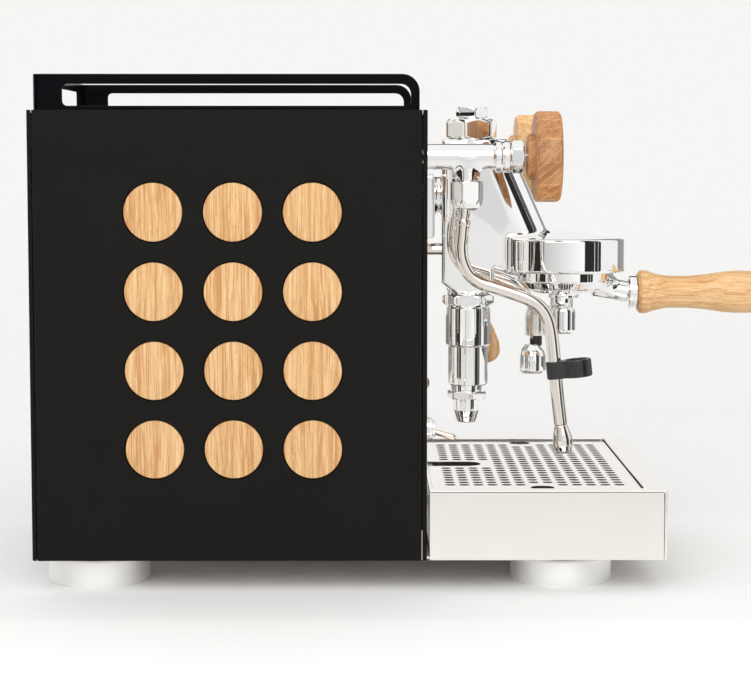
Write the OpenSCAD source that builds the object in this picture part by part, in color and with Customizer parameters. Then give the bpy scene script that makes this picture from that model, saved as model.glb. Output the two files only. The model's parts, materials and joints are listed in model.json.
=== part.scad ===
// Espresso machine with a lever group, two valve wands and a wooden trim.
// Millimetres. +Z is up, the front of the machine faces -Y, and the origin is the
// centre of the overall box on the surface that the feet stand on.
// "d" in a comment is a distance forward from the rear face of the case.

/* [Case] */
// Width over the two side panels
case_w = 274; // [272:1:278]
// Depth of the side panels
case_d = 264; // [263:1:266]
// Height of the side panels
case_h = 300; // [298:1:304]
// Height of the feet under the case
foot_h = 21; // [20:1:23]
// Diameter of each foot
foot_dia = 69.4; // [60:0.2:74]
// Distance of the front feet from the rear face
foot_front_d = 357.5; // [340:0.5:370]
// Distance of the rear feet from the rear face
foot_rear_d = 39.5; // [36:0.5:60]
// Thickness of the folded sheet panels
sheet_t = 1; // [0.8:0.1:1]
// Outer radius of the bends along the upright edges of the side panels
bend_r = 3; // [2.5:0.5:4]

/* [Wooden discs] */
// Diameter of each disc
disc_dia = 39; // [34:0.5:39.5]
// Diameter of the holes that show the discs
disc_hole_dia = 40.4; // [40:0.2:42]
// Distance between neighbouring discs, across and up
disc_pitch = 52.6; // [50:0.2:54]
// Distance of the rear column of discs from the rear face
disc_first_d = 82.7; // [70:0.5:90]
// Height of the lowest row of discs
disc_first_z = 96; // [80:1:100]

/* [Cup rail] */
// Gap between the rail and the outer face of a side panel
rail_inset = 7.7; // [6:0.1:12]
// Height of the rail above the side panels
rail_h = 23.7; // [18:0.1:30]
// Thickness of the rail's band
rail_t = 2; // [1.5:0.5:3]

/* [Drip tray] */
// Depth of the tray in front of the case
tray_d = 159; // [150:1:165]
// Height of the tray's rim above the surface
tray_top_z = 67.8; // [64:0.2:72]
// Diameter of the drain holes in the grate
grate_hole_dia = 7; // [4:0.5:7.5]
// Distance between neighbouring drain holes, front to back
grate_pitch = 9.66; // [9.4:0.02:9.7]
// Distance between neighbouring drain holes, side to side
grate_pitch_x = 10.92; // [10:0.02:11]

/* [Group] */
// Distance of the group's upright body from the rear face
group_d = 297.5; // [296:0.5:300]
// Distance of the brewing bell's axis from the rear face
bell_d = 366.5; // [365:0.5:368]
// Outer diameter of the bell
bell_dia = 88; // [87:0.5:90]
// Height of the bell's lower edge
bell_z = 207; // [205:0.5:209]

/* [Valves and wands] */
// Distance of each valve's axis from the middle of the machine
valve_x = 92; // [88:1:96]
// Height of the valve axes
valve_z = 290; // [288:1:294]
// Diameter of the polygonal knobs, corner to corner
knob_dia = 62; // [50:1:62]
// Outer diameter of the wands
wand_dia = 9; // [8:0.5:9.5]

/* [Portafilter] */
// Distance of the handle's end from the rear face, which is the overall depth
overall_d = 546; // [530:1:560]
// Height of the handle's axis
handle_z = 192; // [190:0.5:194]

/* [Hidden] */
$fn = 64;
eps = 0.01;
rear_y = overall_d / 2;
half_w = case_w / 2;
case_top = foot_h + case_h;
inner_x = half_w - sheet_t;
front_sheet_d = case_d - 2 * sheet_t;
top_sheet_z = case_top - 3;
floor_t = 1.5;
floor_z = foot_h + floor_t;

foot_x = 91;
disc_t = 5;
disc_recess = 0.6;
disc_cols = 3;
disc_rows = 4;
backing_x = half_w - disc_recess - disc_t - sheet_t;
backing_d = [50, 222];
backing_z = [70, 286];

rail_x = half_w - rail_inset;
rail_rear_d = 3.1;
rail_front_d = case_d - 5.2;
rail_top_z = case_top + rail_h;
cup_tray_z = top_sheet_z + 1.2;
cup_tray_t = 1.2;

tray_rear_d = case_d + 1.8;
tray_front_d = tray_rear_d + tray_d;
tray_x = half_w - 1.3;
tray_wall = 1.2;
grate_x = 124;
grate_rear_d = tray_rear_d + 2.2;
grate_front_d = tray_front_d - 14;
grate_t = 1.2;
grate_z = tray_top_z - 1 - grate_t;
grate_cols = 13;
grate_rows = 19;
grate_last_row = (grate_rows - 1) / 2;
grate_first_d = tray_rear_d + 15.2;
well_floor_z = foot_h + 9;
runner_top_z = well_floor_z - tray_wall;

boiler_r = 52;
boiler_d = 175;
boiler_z = 205;
boiler_half = 100;
hose_x = -50;
hose_z = 60;
pump_d = [100, 148];
bulkhead_d = 96;
shelf_z = 118;
tank_x = [-60, 120];
tank_d = [8, 90];
tank_z = [shelf_z + 1.4, 298];

body_r = 19;
body_top_z = 300;
cam_z = 207;
cam_r = 5;
bell_top_z = bell_z + 27.5;
ear_floor_z = bell_z + 2;
gasket_z = bell_z + 7;
gasket_h = 8;
chamber_top_z = 190;
arm_half = 14.5;
arm_lean = 26.5;
lever_tilt = 14;
lever_splay = 16;
lever_len = 76;

fork_rim_z = gasket_z - 1;
portafilter_r = 35;
basket_r = 29;
neck_r = 7.6;

valve_branch_d = 292;
valve_rear_d = 250;
collar_d = 311;
gland_d = 322;
knob_d = 331.7;
spindle_r = 4;
knob_sides = 12;
knob_disc_d = knob_d + 7.6;
knob_front_d = knob_d + 25.2;

tip_len = 20;
tip_tilt = 7.3;
tip_top = [356.9, 107];
grip_mid = [353, 144.5];

switch_x = -97;
switch_z = 105;
lamp_z = 136.5;
gauge_x = 92;
gauge_z = 137;
gauge_r = 21;
inlet_x = 84;
inlet_z = 56;
screw_r = 1.5;
screw_x = 112;

// ---- Shared shapes and functions ----

// The Y coordinate at a distance d forward from the rear face of the case.
function fy(d) = rear_y - d;

// A block between two X values, two distances from the rear and two heights.
module block(x, d, z)
    translate([x[0], fy(d[1]), z[0]])
        cube([x[1] - x[0], d[1] - d[0], z[1] - z[0]]);

// Round bars along each axis. The one along Y runs between two distances d.
module x_rod(r, x0, x1)
    translate([x0, 0, 0])
        rotate([0, 90, 0])
            cylinder(r = r, h = x1 - x0);

module y_rod(r, d0, d1)
    translate([0, fy(d0), 0])
        rotate([90, 0, 0])
            cylinder(r = r, h = d1 - d0);

module z_rod(r, z0, z1)
    translate([0, 0, z0])
        cylinder(r = r, h = z1 - z0);

// A six-sided bar, upright or along Y, with r as the distance to a corner.
module z_hex(r, z0, z1)
    translate([0, 0, z0])
        cylinder(r = r, h = z1 - z0, $fn = 6);

module y_hex(r, d0, d1)
    translate([0, fy(d0), 0])
        rotate([90, 0, 0])
            cylinder(r = r, h = d1 - d0, $fn = 6);

// A turned shape about an axis along Y, from [radius, d] points.
module y_turned(points)
    translate([0, rear_y, 0])
        rotate([90, 0, 0])
            rotate_extrude()
                polygon(points);

// A turned shape about an upright axis, from [radius, z] points.
module z_turned(points)
    rotate_extrude()
        polygon(points);

// Points along an arc about a centre, from angle a0 to angle a1.
function arc(centre, r, a0, a1, steps = 8) =
    [for (i = [0:steps]) let (a = a0 + (a1 - a0) * i / steps)
        centre + r * [cos(a), sin(a)]];

// A rounded rectangle centred on the origin.
function round_rect(w, h, r) = concat(
    arc([w / 2 - r, h / 2 - r], r, 0, 90),
    arc([r - w / 2, h / 2 - r], r, 90, 180),
    arc([r - w / 2, r - h / 2], r, 180, 270),
    arc([w / 2 - r, r - h / 2], r, 270, 360));

// A slot of length w and height h with round ends, cut as a prism.
module slot_prism(w, h, t)
    linear_extrude(t)
        polygon(round_rect(w, h, min(w, h) / 2 - eps));

// A smooth curve through [d, z, radius] points.
function curve_at(p, i, t) =
    let (a = p[max(i - 1, 0)], b = p[i], c = p[i + 1], e = p[min(i + 2, len(p) - 1)])
    (2 * b + (c - a) * t + (2 * a - 5 * b + 4 * c - e) * t * t
        + (3 * b - a - 3 * c + e) * t * t * t) / 2;
function smooth(p, n) = concat(
    [for (i = [0:len(p) - 2]) for (k = [0:n - 1]) curve_at(p, i, k / n)],
    [p[len(p) - 1]]);

// A tube with a solid core along [d, z, radius] points in one upright plane.
module swept(points, sides = 14) {
    last = len(points) - 1;
    rings = [for (i = [0:last])
        let (step = points[min(i + 1, last)] - points[max(i - 1, 0)],
             t = [step[0], step[1]] / norm([step[0], step[1]]),
             centre = [0, fy(points[i][0]), points[i][1]])
        for (j = [0:sides - 1]) let (a = 360 * j / sides)
            centre + points[i][2] * (cos(a) * [1, 0, 0] + sin(a) * [0, t[1], t[0]])];
    walls = [for (i = [0:last - 1]) for (j = [0:sides - 1]) let (k = (j + 1) % sides)
        [i * sides + j, (i + 1) * sides + j, (i + 1) * sides + k, i * sides + k]];
    polyhedron(points = rings, faces = concat(walls,
        [[for (j = [0:sides - 1]) j]],
        [[for (j = [sides - 1:-1:0]) last * sides + j]]));
}

module on_both_sides(x)
    for (s = [-1, 1])
        translate([s * x, 0, 0])
            children();

// ---- Case ----

module chassis() color("lightgray") {
    difference() {
        union() {
            block([-inner_x + 2, inner_x - 2], [3.5, front_sheet_d], [foot_h, floor_z]);
            block([-130, 130], [front_sheet_d, tray_front_d - 4], [foot_h, floor_z]);
            for (s = [-1, 1])
                block([s * (inner_x - 2.75) - 0.75, s * (inner_x - 2.75) + 0.75],
                    [3.5, front_sheet_d], [floor_z, foot_h + 20]);
            block([-inner_x + 2, inner_x - 2], [2 * sheet_t, 3.5], [foot_h, foot_h + 40]);
            block([-backing_x, backing_x], [bulkhead_d, bulkhead_d + 1.5], [floor_z, 250]);
            block([-backing_x, backing_x], [6, bulkhead_d], [shelf_z, shelf_z + 1.4]);
            for (x = [-80, 70])
                block([x, x + 10], [tray_rear_d + 4, tray_front_d - 20],
                    [floor_z, runner_top_z]);
            for (x = [-60, 58])
                difference() {
                    block([x, x + 2], [boiler_d - 25, boiler_d + 25], [floor_z, boiler_z - 25]);
                    translate([0, fy(boiler_d), boiler_z])
                        x_rod(boiler_r + 0.2, x - 1, x + 3);
                }
        }
        for (x = [-screw_x, screw_x])
            translate([x, 0, foot_h + 30])
                y_rod(screw_r + 0.05, sheet_t, 5);
        translate([inlet_x, 0, inlet_z])
            block([-15, 15], [sheet_t, 5], [-12, 12]);
        translate([hose_x, fy(50), 0])
            z_rod(6, shelf_z - 1, shelf_z + 3);
        translate([hose_x, 0, hose_z])
            y_rod(6, bulkhead_d - 1, bulkhead_d + 3);
    }
}

module front_panel() color("silver")
    difference() {
        block([-inner_x + 2.2, inner_x - 2.2], [front_sheet_d, front_sheet_d + sheet_t],
            [floor_z, top_sheet_z]);
        on_both_sides(valve_x)
            translate([0, 0, valve_z])
                y_rod(9, front_sheet_d - 1, case_d);
        translate([0, 0, 265])
            y_rod(9, front_sheet_d - 1, case_d);
        translate([0, 0, 223])
            y_rod(6, front_sheet_d - 1, case_d);
        translate([switch_x, 0, switch_z])
            y_rod(5.1, front_sheet_d - 1, case_d);
        translate([switch_x, 0, lamp_z])
            y_rod(3.6, front_sheet_d - 1, case_d);
        translate([gauge_x, 0, gauge_z])
            y_rod(gauge_r - 2, front_sheet_d - 1, case_d);
    }

module rear_panel() color("silver")
    difference() {
        block([-inner_x + 2.2, inner_x - 2.2], [sheet_t, 2 * sheet_t], [foot_h, top_sheet_z]);
        for (x = [-screw_x, screw_x], z = [foot_h + 30, top_sheet_z - 14])
            translate([x, 0, z])
                y_rod(screw_r + 0.05, 0, 5);
        translate([inlet_x, 0, inlet_z])
            block([-14, 14], [0, 5], [-10.5, 10.5]);
        for (i = [-4:4], k = [0:3])
            translate([i * 12, 0, 240 + k * 14])
                block([-2, 2], [0, 5], [-5, 5]);
    }

module top_plate() color("silver")
    difference() {
        union() {
            block([-inner_x + 2.2, inner_x - 2.2], [sheet_t + 0.2, front_sheet_d + sheet_t],
                [top_sheet_z, top_sheet_z + 1.2]);
            block([-124, 124], [2 * sheet_t, 3.5], [top_sheet_z - 24, top_sheet_z]);
        }
        for (x = [-screw_x, screw_x])
            translate([x, 0, top_sheet_z - 14])
                y_rod(screw_r + 0.05, 0, 5);
        block([-64, 122], [7, 92], [top_sheet_z - 1, top_sheet_z + 2]);
        block([-105, 105], [120, 230], [top_sheet_z - 1, top_sheet_z + 2]);
    }

// Plan outline of a side panel at +X: a sheet with both upright edges bent inwards.
function side_outline() = concat(
    [[half_w - 12, rear_y]],
    arc([half_w - bend_r, rear_y - bend_r], bend_r, 90, 0),
    arc([half_w - bend_r, fy(case_d) + bend_r], bend_r, 0, -90),
    [[half_w - 6, fy(case_d)], [half_w - 6, fy(case_d) + sheet_t]],
    arc([half_w - bend_r, fy(case_d) + bend_r], bend_r - sheet_t, -90, 0),
    arc([half_w - bend_r, rear_y - bend_r], bend_r - sheet_t, 0, 90),
    [[half_w - 12, rear_y - sheet_t]]);

module side_panel()
    difference() {
        translate([0, 0, foot_h])
            linear_extrude(case_h)
                polygon(side_outline());
        for (i = [0:disc_cols - 1], k = [0:disc_rows - 1])
            translate([0, fy(disc_first_d + i * disc_pitch), disc_first_z + k * disc_pitch])
                x_rod(disc_hole_dia / 2, half_w - 2, half_w + 1);
    }

module side_panel_right() color([0.13, 0.13, 0.12]) side_panel();
module side_panel_left() color([0.13, 0.13, 0.12]) mirror([1, 0, 0]) side_panel();

// The sheets that carry the discs, held off the side panels by four studs each.
module backing_panel() {
    block([backing_x, backing_x + sheet_t], backing_d, backing_z);
    for (d = [backing_d[0] + 6, backing_d[1] - 6], z = [backing_z[0] + 6, backing_z[1] - 6])
        translate([0, fy(d), z])
            x_rod(3, backing_x + sheet_t - eps, inner_x);
}

module backing_panels() color([0.2, 0.2, 0.2]) {
    backing_panel();
    mirror([1, 0, 0])
        backing_panel();
}

module wood_discs() color([0.9, 0.72, 0.48])
    for (s = [-1, 1], i = [0:disc_cols - 1], k = [0:disc_rows - 1]) {
        mid = half_w - disc_recess - disc_t / 2;
        translate([s * mid, fy(disc_first_d + i * disc_pitch), disc_first_z + k * disc_pitch])
            x_rod(disc_dia / 2, -disc_t / 2, disc_t / 2);
    }

module cup_tray() color([0.15, 0.15, 0.16])
    difference() {
        block([-rail_x, rail_x], [rail_rear_d, rail_front_d], [cup_tray_z, cup_tray_z + cup_tray_t]);
        for (i = [-4:4], k = [0:4])
            translate([i * 26, fy(55 + k * 38), cup_tray_z - 1])
                slot_prism(5, 26, 4);
    }

// Side view of the rail: d runs along the outline's X and height along its Y.
module rail_side()
    rotate([90, 0, 90])
        linear_extrude(rail_t)
            difference() {
                polygon(concat(
                    [[-rail_front_d, cup_tray_z + cup_tray_t]],
                    [[-rail_rear_d, cup_tray_z + cup_tray_t], [-rail_rear_d, rail_top_z]],
                    arc([11.5 - rail_front_d, rail_top_z - 11.5], 11.5, 90, 180)));
                polygon(concat(
                    arc([3.3 - rail_front_d + 5.8, case_top + 2.8 + 3.3], 3.3, 180, 270),
                    arc([-23 - 3.3, case_top + 2.8 + 3.3], 3.3, 270, 360),
                    arc([-23 - 3.3, case_top + 17 - 3.3], 3.3, 0, 90),
                    arc([6.7 - rail_front_d + 5.8, case_top + 17 - 6.7], 6.7, 90, 180)));
            }

module cup_rail() color([0.03, 0.03, 0.04])
    union() {
        translate([-rail_x, rear_y, 0])
            rail_side();
        translate([rail_x - rail_t, rear_y, 0])
            rail_side();
        difference() {
            block([-rail_x + rail_t / 2, rail_x - rail_t / 2], [rail_rear_d, rail_rear_d + rail_t],
                [cup_tray_z + cup_tray_t, rail_top_z]);
            translate([0, fy(0), case_top + 9.9])
                rotate([90, 0, 0])
                    linear_extrude(10)
                        polygon(round_rect(184, 14.2, 3.3));
        }
    }

module feet() color("gainsboro")
    for (x = [-foot_x, foot_x], d = [foot_rear_d, foot_front_d])
        translate([x, fy(d), 0])
            z_turned([[0, 0], [foot_dia / 2 - 1, 0], [foot_dia / 2, 1],
                [foot_dia / 2, foot_h - 2.6], [foot_dia / 2 - 0.6, foot_h - 2], [22, foot_h - 2],
                [22, foot_h], [0, foot_h]]);

// ---- Drip tray ----

module drip_tray() color([0.85, 0.84, 0.82])
    difference() {
        block([-tray_x, tray_x], [tray_rear_d, tray_front_d], [foot_h, tray_top_z]);
        difference() {
            block([-tray_x + tray_wall, tray_x - tray_wall],
                [tray_rear_d + tray_wall, tray_front_d - tray_wall],
                [foot_h - 1, tray_top_z - tray_wall]);
            block([-grate_x - tray_wall, grate_x + tray_wall],
                [tray_rear_d, grate_front_d + tray_wall], [grate_z - tray_wall, tray_top_z]);
            block([-116 - tray_wall, 116 + tray_wall],
                [grate_rear_d + 4 - tray_wall, grate_front_d - 6 + tray_wall],
                [well_floor_z - tray_wall, tray_top_z]);
        }
        block([-tray_x + tray_wall, tray_x - tray_wall], [tray_rear_d - 1, tray_rear_d + 3],
            [foot_h - 1, runner_top_z + 0.2]);
        block([-grate_x, grate_x], [grate_rear_d, grate_front_d], [grate_z, tray_top_z + 1]);
        block([-116, 116], [grate_rear_d + 4, grate_front_d - 6], [well_floor_z, tray_top_z]);
    }

module drip_grate() color([0.8, 0.8, 0.79])
    translate([0, 0, grate_z])
        linear_extrude(grate_t)
            difference() {
                polygon([[-grate_x + 0.3, fy(grate_rear_d + 0.3)],
                    [grate_x - 0.3, fy(grate_rear_d + 0.3)],
                    [grate_x - 0.3, fy(grate_front_d - 0.3)],
                    [-grate_x + 0.3, fy(grate_front_d - 0.3)]]);
                for (i = [0:grate_cols - 1], k = [-grate_last_row:grate_last_row])
                    if (is_drain_hole(i, k))
                        translate([k * grate_pitch_x, fy(grate_first_d + i * grate_pitch)])
                            circle(d = grate_hole_dia);
                for (s = [-1, 1])
                    translate([s * 111, fy(grate_first_d + 6.25 * grate_pitch)])
                        polygon(round_rect(9, 17, 4.4));
                translate([0, fy(grate_rear_d + 19)])
                    polygon(round_rect(22, 40, 10.9));
            }

// The grate has no hole beside the finger holes, nor around the slot under the drain.
function is_drain_hole(col, row) =
    !(abs(row) == grate_last_row && (col == 6 || col == 7)) && !(abs(row) < 2 && col < 4);

// ---- Water and steam works inside the case ----

module water_tank() color([0.75, 0.82, 0.88])
    difference() {
        block(tank_x, tank_d, tank_z);
        block([tank_x[0] + 2.5, tank_x[1] - 2.5], [tank_d[0] + 2.5, tank_d[1] - 2.5],
            [tank_z[0] + 2.5, tank_z[1] + 1]);
        translate([hose_x, fy(50), 0])
            z_rod(3, tank_z[0] - 1, tank_z[0] + 4);
    }

module tank_lid() color([0.2, 0.2, 0.2])
    difference() {
        union() {
            block(tank_x, tank_d, [tank_z[1], tank_z[1] + 3]);
            block([tank_x[0] + 3, tank_x[1] - 3], [tank_d[0] + 3, tank_d[1] - 3],
                [tank_z[1] - 4, tank_z[1]]);
        }
        translate([60, fy(50), 0])
            z_rod(22, tank_z[1] - 5, tank_z[1] + 4);
    }

module boiler() color([0.75, 0.45, 0.3])
    translate([0, fy(boiler_d), boiler_z])
        difference() {
            x_rod(boiler_r, -boiler_half, boiler_half);
            x_rod(boiler_r - 1.5, -boiler_half + 3, boiler_half - 3);
            x_rod(24, boiler_half - 4, boiler_half + 1);
        }

module heating_element() color("peru")
    translate([0, fy(boiler_d), boiler_z]) {
        x_rod(30, boiler_half, boiler_half + 6);
        for (y = [-10, 10])
            translate([0, y, 0]) {
                x_rod(4, -70, boiler_half + eps);
                x_rod(3, boiler_half + 5, boiler_half + 20);
            }
        translate([-70, 0, 0])
            rotate([90, 0, 0])
                translate([0, 0, -10])
                    cylinder(r = 4, h = 20);
    }

module safety_valve() color("gold")
    difference() {
        translate([-30, fy(boiler_d), 0]) {
            z_hex(11, boiler_z + boiler_r - 4, 270);
            z_rod(7, 270 - eps, 292);
        }
        translate([0, fy(boiler_d), boiler_z])
            x_rod(boiler_r, -boiler_half, boiler_half);
    }

module pressurestat() color([0.25, 0.25, 0.27])
    difference() {
        union() {
            translate([40, fy(boiler_d), 0])
                z_rod(6, boiler_z + boiler_r - 4, 272);
            block([20, 60], [boiler_d - 18, boiler_d + 18], [272 - eps, 306]);
        }
        translate([0, fy(boiler_d), boiler_z])
            x_rod(boiler_r, -boiler_half, boiler_half);
    }

module pump() color([0.3, 0.3, 0.34]) {
    block([-92, -38], pump_d, [floor_z + 6, 80]);
    block([-80, -50], [pump_d[0] + 6, pump_d[1] - 6], [floor_z, floor_z + 6 + eps]);
    translate([0, fy((pump_d[0] + pump_d[1]) / 2), hose_z])
        x_rod(10, -116, -20);
}

module control_box() color([0.75, 0.75, 0.72])
    block([62, 118], [110, 200], [floor_z, 72]);

// The pipes that keep the group hot: the upper enters its flange and the lower its body.
thermo_upper = [[218, 237, 5], [232, 246, 5], [244, 260, 5], [253, 265, 5], [261, 265, 5],
    [case_d - 0.7, 265, 5]];
thermo_lower = [[224, 179, 4.3], [238, 190, 4.3], [246, 214, 4.3], [255, 223, 4.3],
    [264, 223, 4.3], [group_d - body_r + 0.15, 223, 4.3]];
module thermo_pipes() color("peru") {
    swept(smooth(thermo_upper, 4), 12);
    swept(smooth(thermo_lower, 4), 12);
}

feed_route = [[boiler_d, boiler_z + boiler_r + 0.3, 4], [boiler_d, 268, 4], [183, 284, 4],
    [200, valve_z, 4], [225, valve_z, 4], [valve_rear_d, valve_z, 4]];
module feed_pipes() color("peru")
    on_both_sides(valve_x)
        swept(smooth(feed_route, 3), 10);

suction_route = [[50, tank_z[0] - 0.1, 4], [50, 95, 4], [56, 74, 4], [70, 63, 4],
    [84, hose_z, 4], [pump_d[0] - 0.2, hose_z, 4]];
delivery_route = [[pump_d[1] + 0.3, hose_z, 4], [154, hose_z, 4], [166, 65, 4], [176, 84, 4],
    [177, 120, 4], [boiler_d, boiler_z - boiler_r - 0.4, 4]];
module water_hoses() color([0.85, 0.9, 0.92])
    translate([hose_x, 0, 0]) {
        swept(smooth(suction_route, 4), 10);
        swept(smooth(delivery_route, 4), 10);
    }

// ---- Group ----

// Side view of the arm between the upright body and the bell, as [d, z] points.
arm_outline = [[group_d, body_top_z - 3], [group_d + 18, body_top_z - 3],
    [bell_d - 30, 240], [bell_d - 22, 226], [bell_d - 22, 215], [group_d + 14, 213],
    [group_d, 205]];

module group_arm() {
    translate([-arm_half, 0, 0])
        rotate([90, 0, 90])
            linear_extrude(2 * arm_half)
                polygon([for (p = arm_outline) [fy(p[0]), p[1]]]);
    intersection() {
        translate([0, fy(group_d + 10), body_top_z - 2])
            rotate([180 - arm_lean, 0, 0])
                translate([0, 0, -6])
                    cylinder(r = 15, h = 90);
        block([-20, 20], [group_d, bell_d], [216, body_top_z - 3]);
    }
}

module bell()
    translate([0, fy(bell_d), 0])
        z_turned(concat([[0, bell_top_z + 6], [0, bell_z]],
            arc([bell_dia / 2 - 1.5, bell_z + 1.5], 1.5, -90, 0, 4),
            arc([bell_dia / 2 - 3, bell_top_z - 3], 3, 0, 75, 5)));

// The room inside the bell for the gasket, the portafilter's ears and its rim.
module bell_cavity()
    translate([0, fy(bell_d), 0])
        z_turned([[0, bell_z - 1], [36.5, bell_z - 1], [36.5, ear_floor_z],
            [41.5, ear_floor_z], [41.5, gasket_z], [36.8, gasket_z],
            [36.8, gasket_z + gasket_h], [0, gasket_z + gasket_h]]);

// Gaps in the bell's inner lip, through which the portafilter's ears go in.
module ear_gaps()
    translate([0, fy(bell_d), 0])
        for (a = [-50, 130])
            rotate([0, 0, a])
                translate([30, -13, bell_z - 1])
                    cube([11.5, 26, 4]);

module group_body() color([0.82, 0.83, 0.84])
    difference() {
        union() {
            translate([0, fy(group_d), 0])
                z_turned([[0, chamber_top_z], [15.5, chamber_top_z], [body_r, chamber_top_z + 7],
                    [body_r, body_top_z - 1], [body_r - 3, body_top_z], [15, body_top_z],
                    [15, body_top_z + 3], [0, body_top_z + 3]]);
            group_arm();
            bell();
            block([-30, 30], [front_sheet_d + sheet_t, front_sheet_d + 9], [232, 277]);
            translate([0, 0, 262])
                y_rod(13, front_sheet_d + 9 - eps, group_d - 8);
            translate([0, fy(group_d), cam_z])
                x_rod(14, 0, 25);
        }
        bell_cavity();
        ear_gaps();
        translate([0, fy(group_d), cam_z])
            x_rod(10.5, 3, 26);
        translate([0, fy(group_d), 0])
            z_rod(9, chamber_top_z - 1, cam_z - 6);
        translate([0, 0, 265])
            y_rod(5.2, front_sheet_d, front_sheet_d + 4);
        translate([0, 0, 223])
            y_rod(4.5, group_d - body_r - 1, group_d - body_r + 0.3);
    }

module group_cap() color([0.84, 0.85, 0.86])
    translate([0, fy(group_d), 0]) {
        z_hex(18.3, body_top_z + 3, body_top_z + 16.6);
    }

module group_cap_nut() color([0.84, 0.85, 0.86])
    translate([0, fy(group_d), 0]) {
        z_rod(8.5, body_top_z + 16.6, body_top_z + 18);
        z_hex(11.4, body_top_z + 18 - eps, body_top_z + 26);
    }

module group_gasket() color([0.15, 0.15, 0.15])
    translate([0, fy(bell_d), 0])
        difference() {
            z_rod(36.7, gasket_z, gasket_z + gasket_h);
            z_rod(29.2, gasket_z - 1, gasket_z + gasket_h + 1);
        }

module shower_screen() color("gainsboro")
    translate([0, fy(bell_d), 0])
        difference() {
            z_rod(29, gasket_z + 1, gasket_z + gasket_h);
            z_rod(28, gasket_z + 2, gasket_z + gasket_h + 1);
        }

module lever_cam() color("silver")
    translate([0, fy(group_d), cam_z]) {
        x_rod(cam_r, 5, 36);
        translate([0, 0, 2])
            x_rod(7.5, 7, 17);
    }

module cam_nut() color([0.84, 0.85, 0.86])
    translate([0, fy(group_d), cam_z])
        difference() {
            translate([25, 0, 0])
                rotate([0, 90, 0])
                    cylinder(r = 15, h = 9, $fn = 6);
            x_rod(cam_r + 0.05, 24, 36);
        }

// The lever's own direction: down, a little forward and outwards from the group.
module along_lever()
    translate([41, fy(group_d), cam_z])
        rotate([-lever_tilt, -lever_splay, 0])
            children();

module brew_lever() color([0.84, 0.85, 0.86]) {
    translate([0, fy(group_d), cam_z])
        x_rod(8, 36, 46);
    along_lever()
        z_rod(4, -38, -4);
}

module lever_grip() color([0.8, 0.55, 0.32])
    along_lever()
        z_turned(concat([[0, -38], [6, -38], [6.5, -42], [10.5, -lever_len + 14]],
            arc([3.5, -lever_len + 8], 8, 20, -90, 6), [[0, -lever_len]]));

module lower_chamber() color([0.82, 0.83, 0.84])
    translate([0, fy(group_d), 0])
        difference() {
            union() {
                z_hex(19, chamber_top_z - 7, chamber_top_z);
                z_rod(16.2, chamber_top_z - 36.5, chamber_top_z - 7 + eps);
                z_rod(14.3, chamber_top_z - 65.5, chamber_top_z - 36.5 + eps);
            }
            z_rod(9, chamber_top_z - 58, chamber_top_z + 1);
            z_rod(4, chamber_top_z - 70, chamber_top_z);
        }

module drain_nozzle() color([0.82, 0.83, 0.84])
    translate([0, fy(group_d), 0])
        difference() {
            union() {
                z_rod(11, 121, chamber_top_z - 65.5);
                z_hex(13.5, 115.5, 121 + eps);
                z_turned([[0, 99.3], [6.6, 99.3], [9.1, 107.5], [9.1, 116], [0, 116]]);
            }
            z_rod(4, 98, 126);
        }

// ---- Portafilter ----

module portafilter() color([0.84, 0.85, 0.86])
    difference() {
        union() {
            translate([0, fy(bell_d), 0]) {
                z_turned([[0, 191], [24, 191], [portafilter_r, 196],
                    [portafilter_r, fork_rim_z], [0, fork_rim_z]]);
                for (a = [0, 180])
                    rotate([0, 0, a])
                        translate([32, -8, ear_floor_z + 0.2])
                            cube([8.6, 16, fork_rim_z - ear_floor_z - 0.4]);
                z_rod(9, 188, 192);
            }
            translate([0, 0, handle_z + 2])
                y_rod(neck_r, bell_d + 30, 413);
        }
        translate([0, fy(bell_d), 0]) {
            z_rod(basket_r + 0.3, 193, fork_rim_z + 1);
            z_rod(4, 185, 194);
        }
    }

module filter_basket() color("gainsboro")
    translate([0, fy(bell_d), 0])
        difference() {
            union() {
                z_rod(basket_r, 194.5, fork_rim_z + eps);
                z_rod(34, fork_rim_z, fork_rim_z + 0.8);
            }
            z_rod(basket_r - 0.8, 195.3, fork_rim_z + 1);
        }

module double_spout() color([0.84, 0.85, 0.86])
    translate([0, fy(bell_d), 0])
        difference() {
            union() {
                z_rod(8.4, 174, 188);
                translate([0, 0, 175])
                    x_rod(6.6, -18, 18);
                on_both_sides(18)
                    z_turned([[0, 163], [6.5, 163], [8.2, 165.5], [8.2, 178], [6.5, 182],
                        [0, 183]]);
            }
            z_rod(4, 175, 189);
            translate([0, 0, 175])
                x_rod(3.5, -18, 18);
            on_both_sides(18)
                z_rod(4.5, 162, 176);
        }

module handle_ferrule() color([0.84, 0.85, 0.86])
    translate([0, 0, handle_z])
        y_turned([[0, 413], [11, 413], [11.7, 413.8], [11.7, 419.2], [11, 420], [0, 420]]);

module portafilter_handle() color([0.9, 0.72, 0.48])
    translate([0, 0, handle_z])
        y_turned(concat([[0, 420], [14, 420], [15.6, 422.5], [15.4, 426], [13, 433],
                [11.7, 442], [11.7, 458], [12.8, 470], [14.6, 482], [15.4, 489],
                [15.1, 502], [13.6, overall_d - 7]],
            arc([9.6, overall_d - 4], 4, 0, 90, 4), [[0, overall_d]]));

// ---- Valves ----

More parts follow.
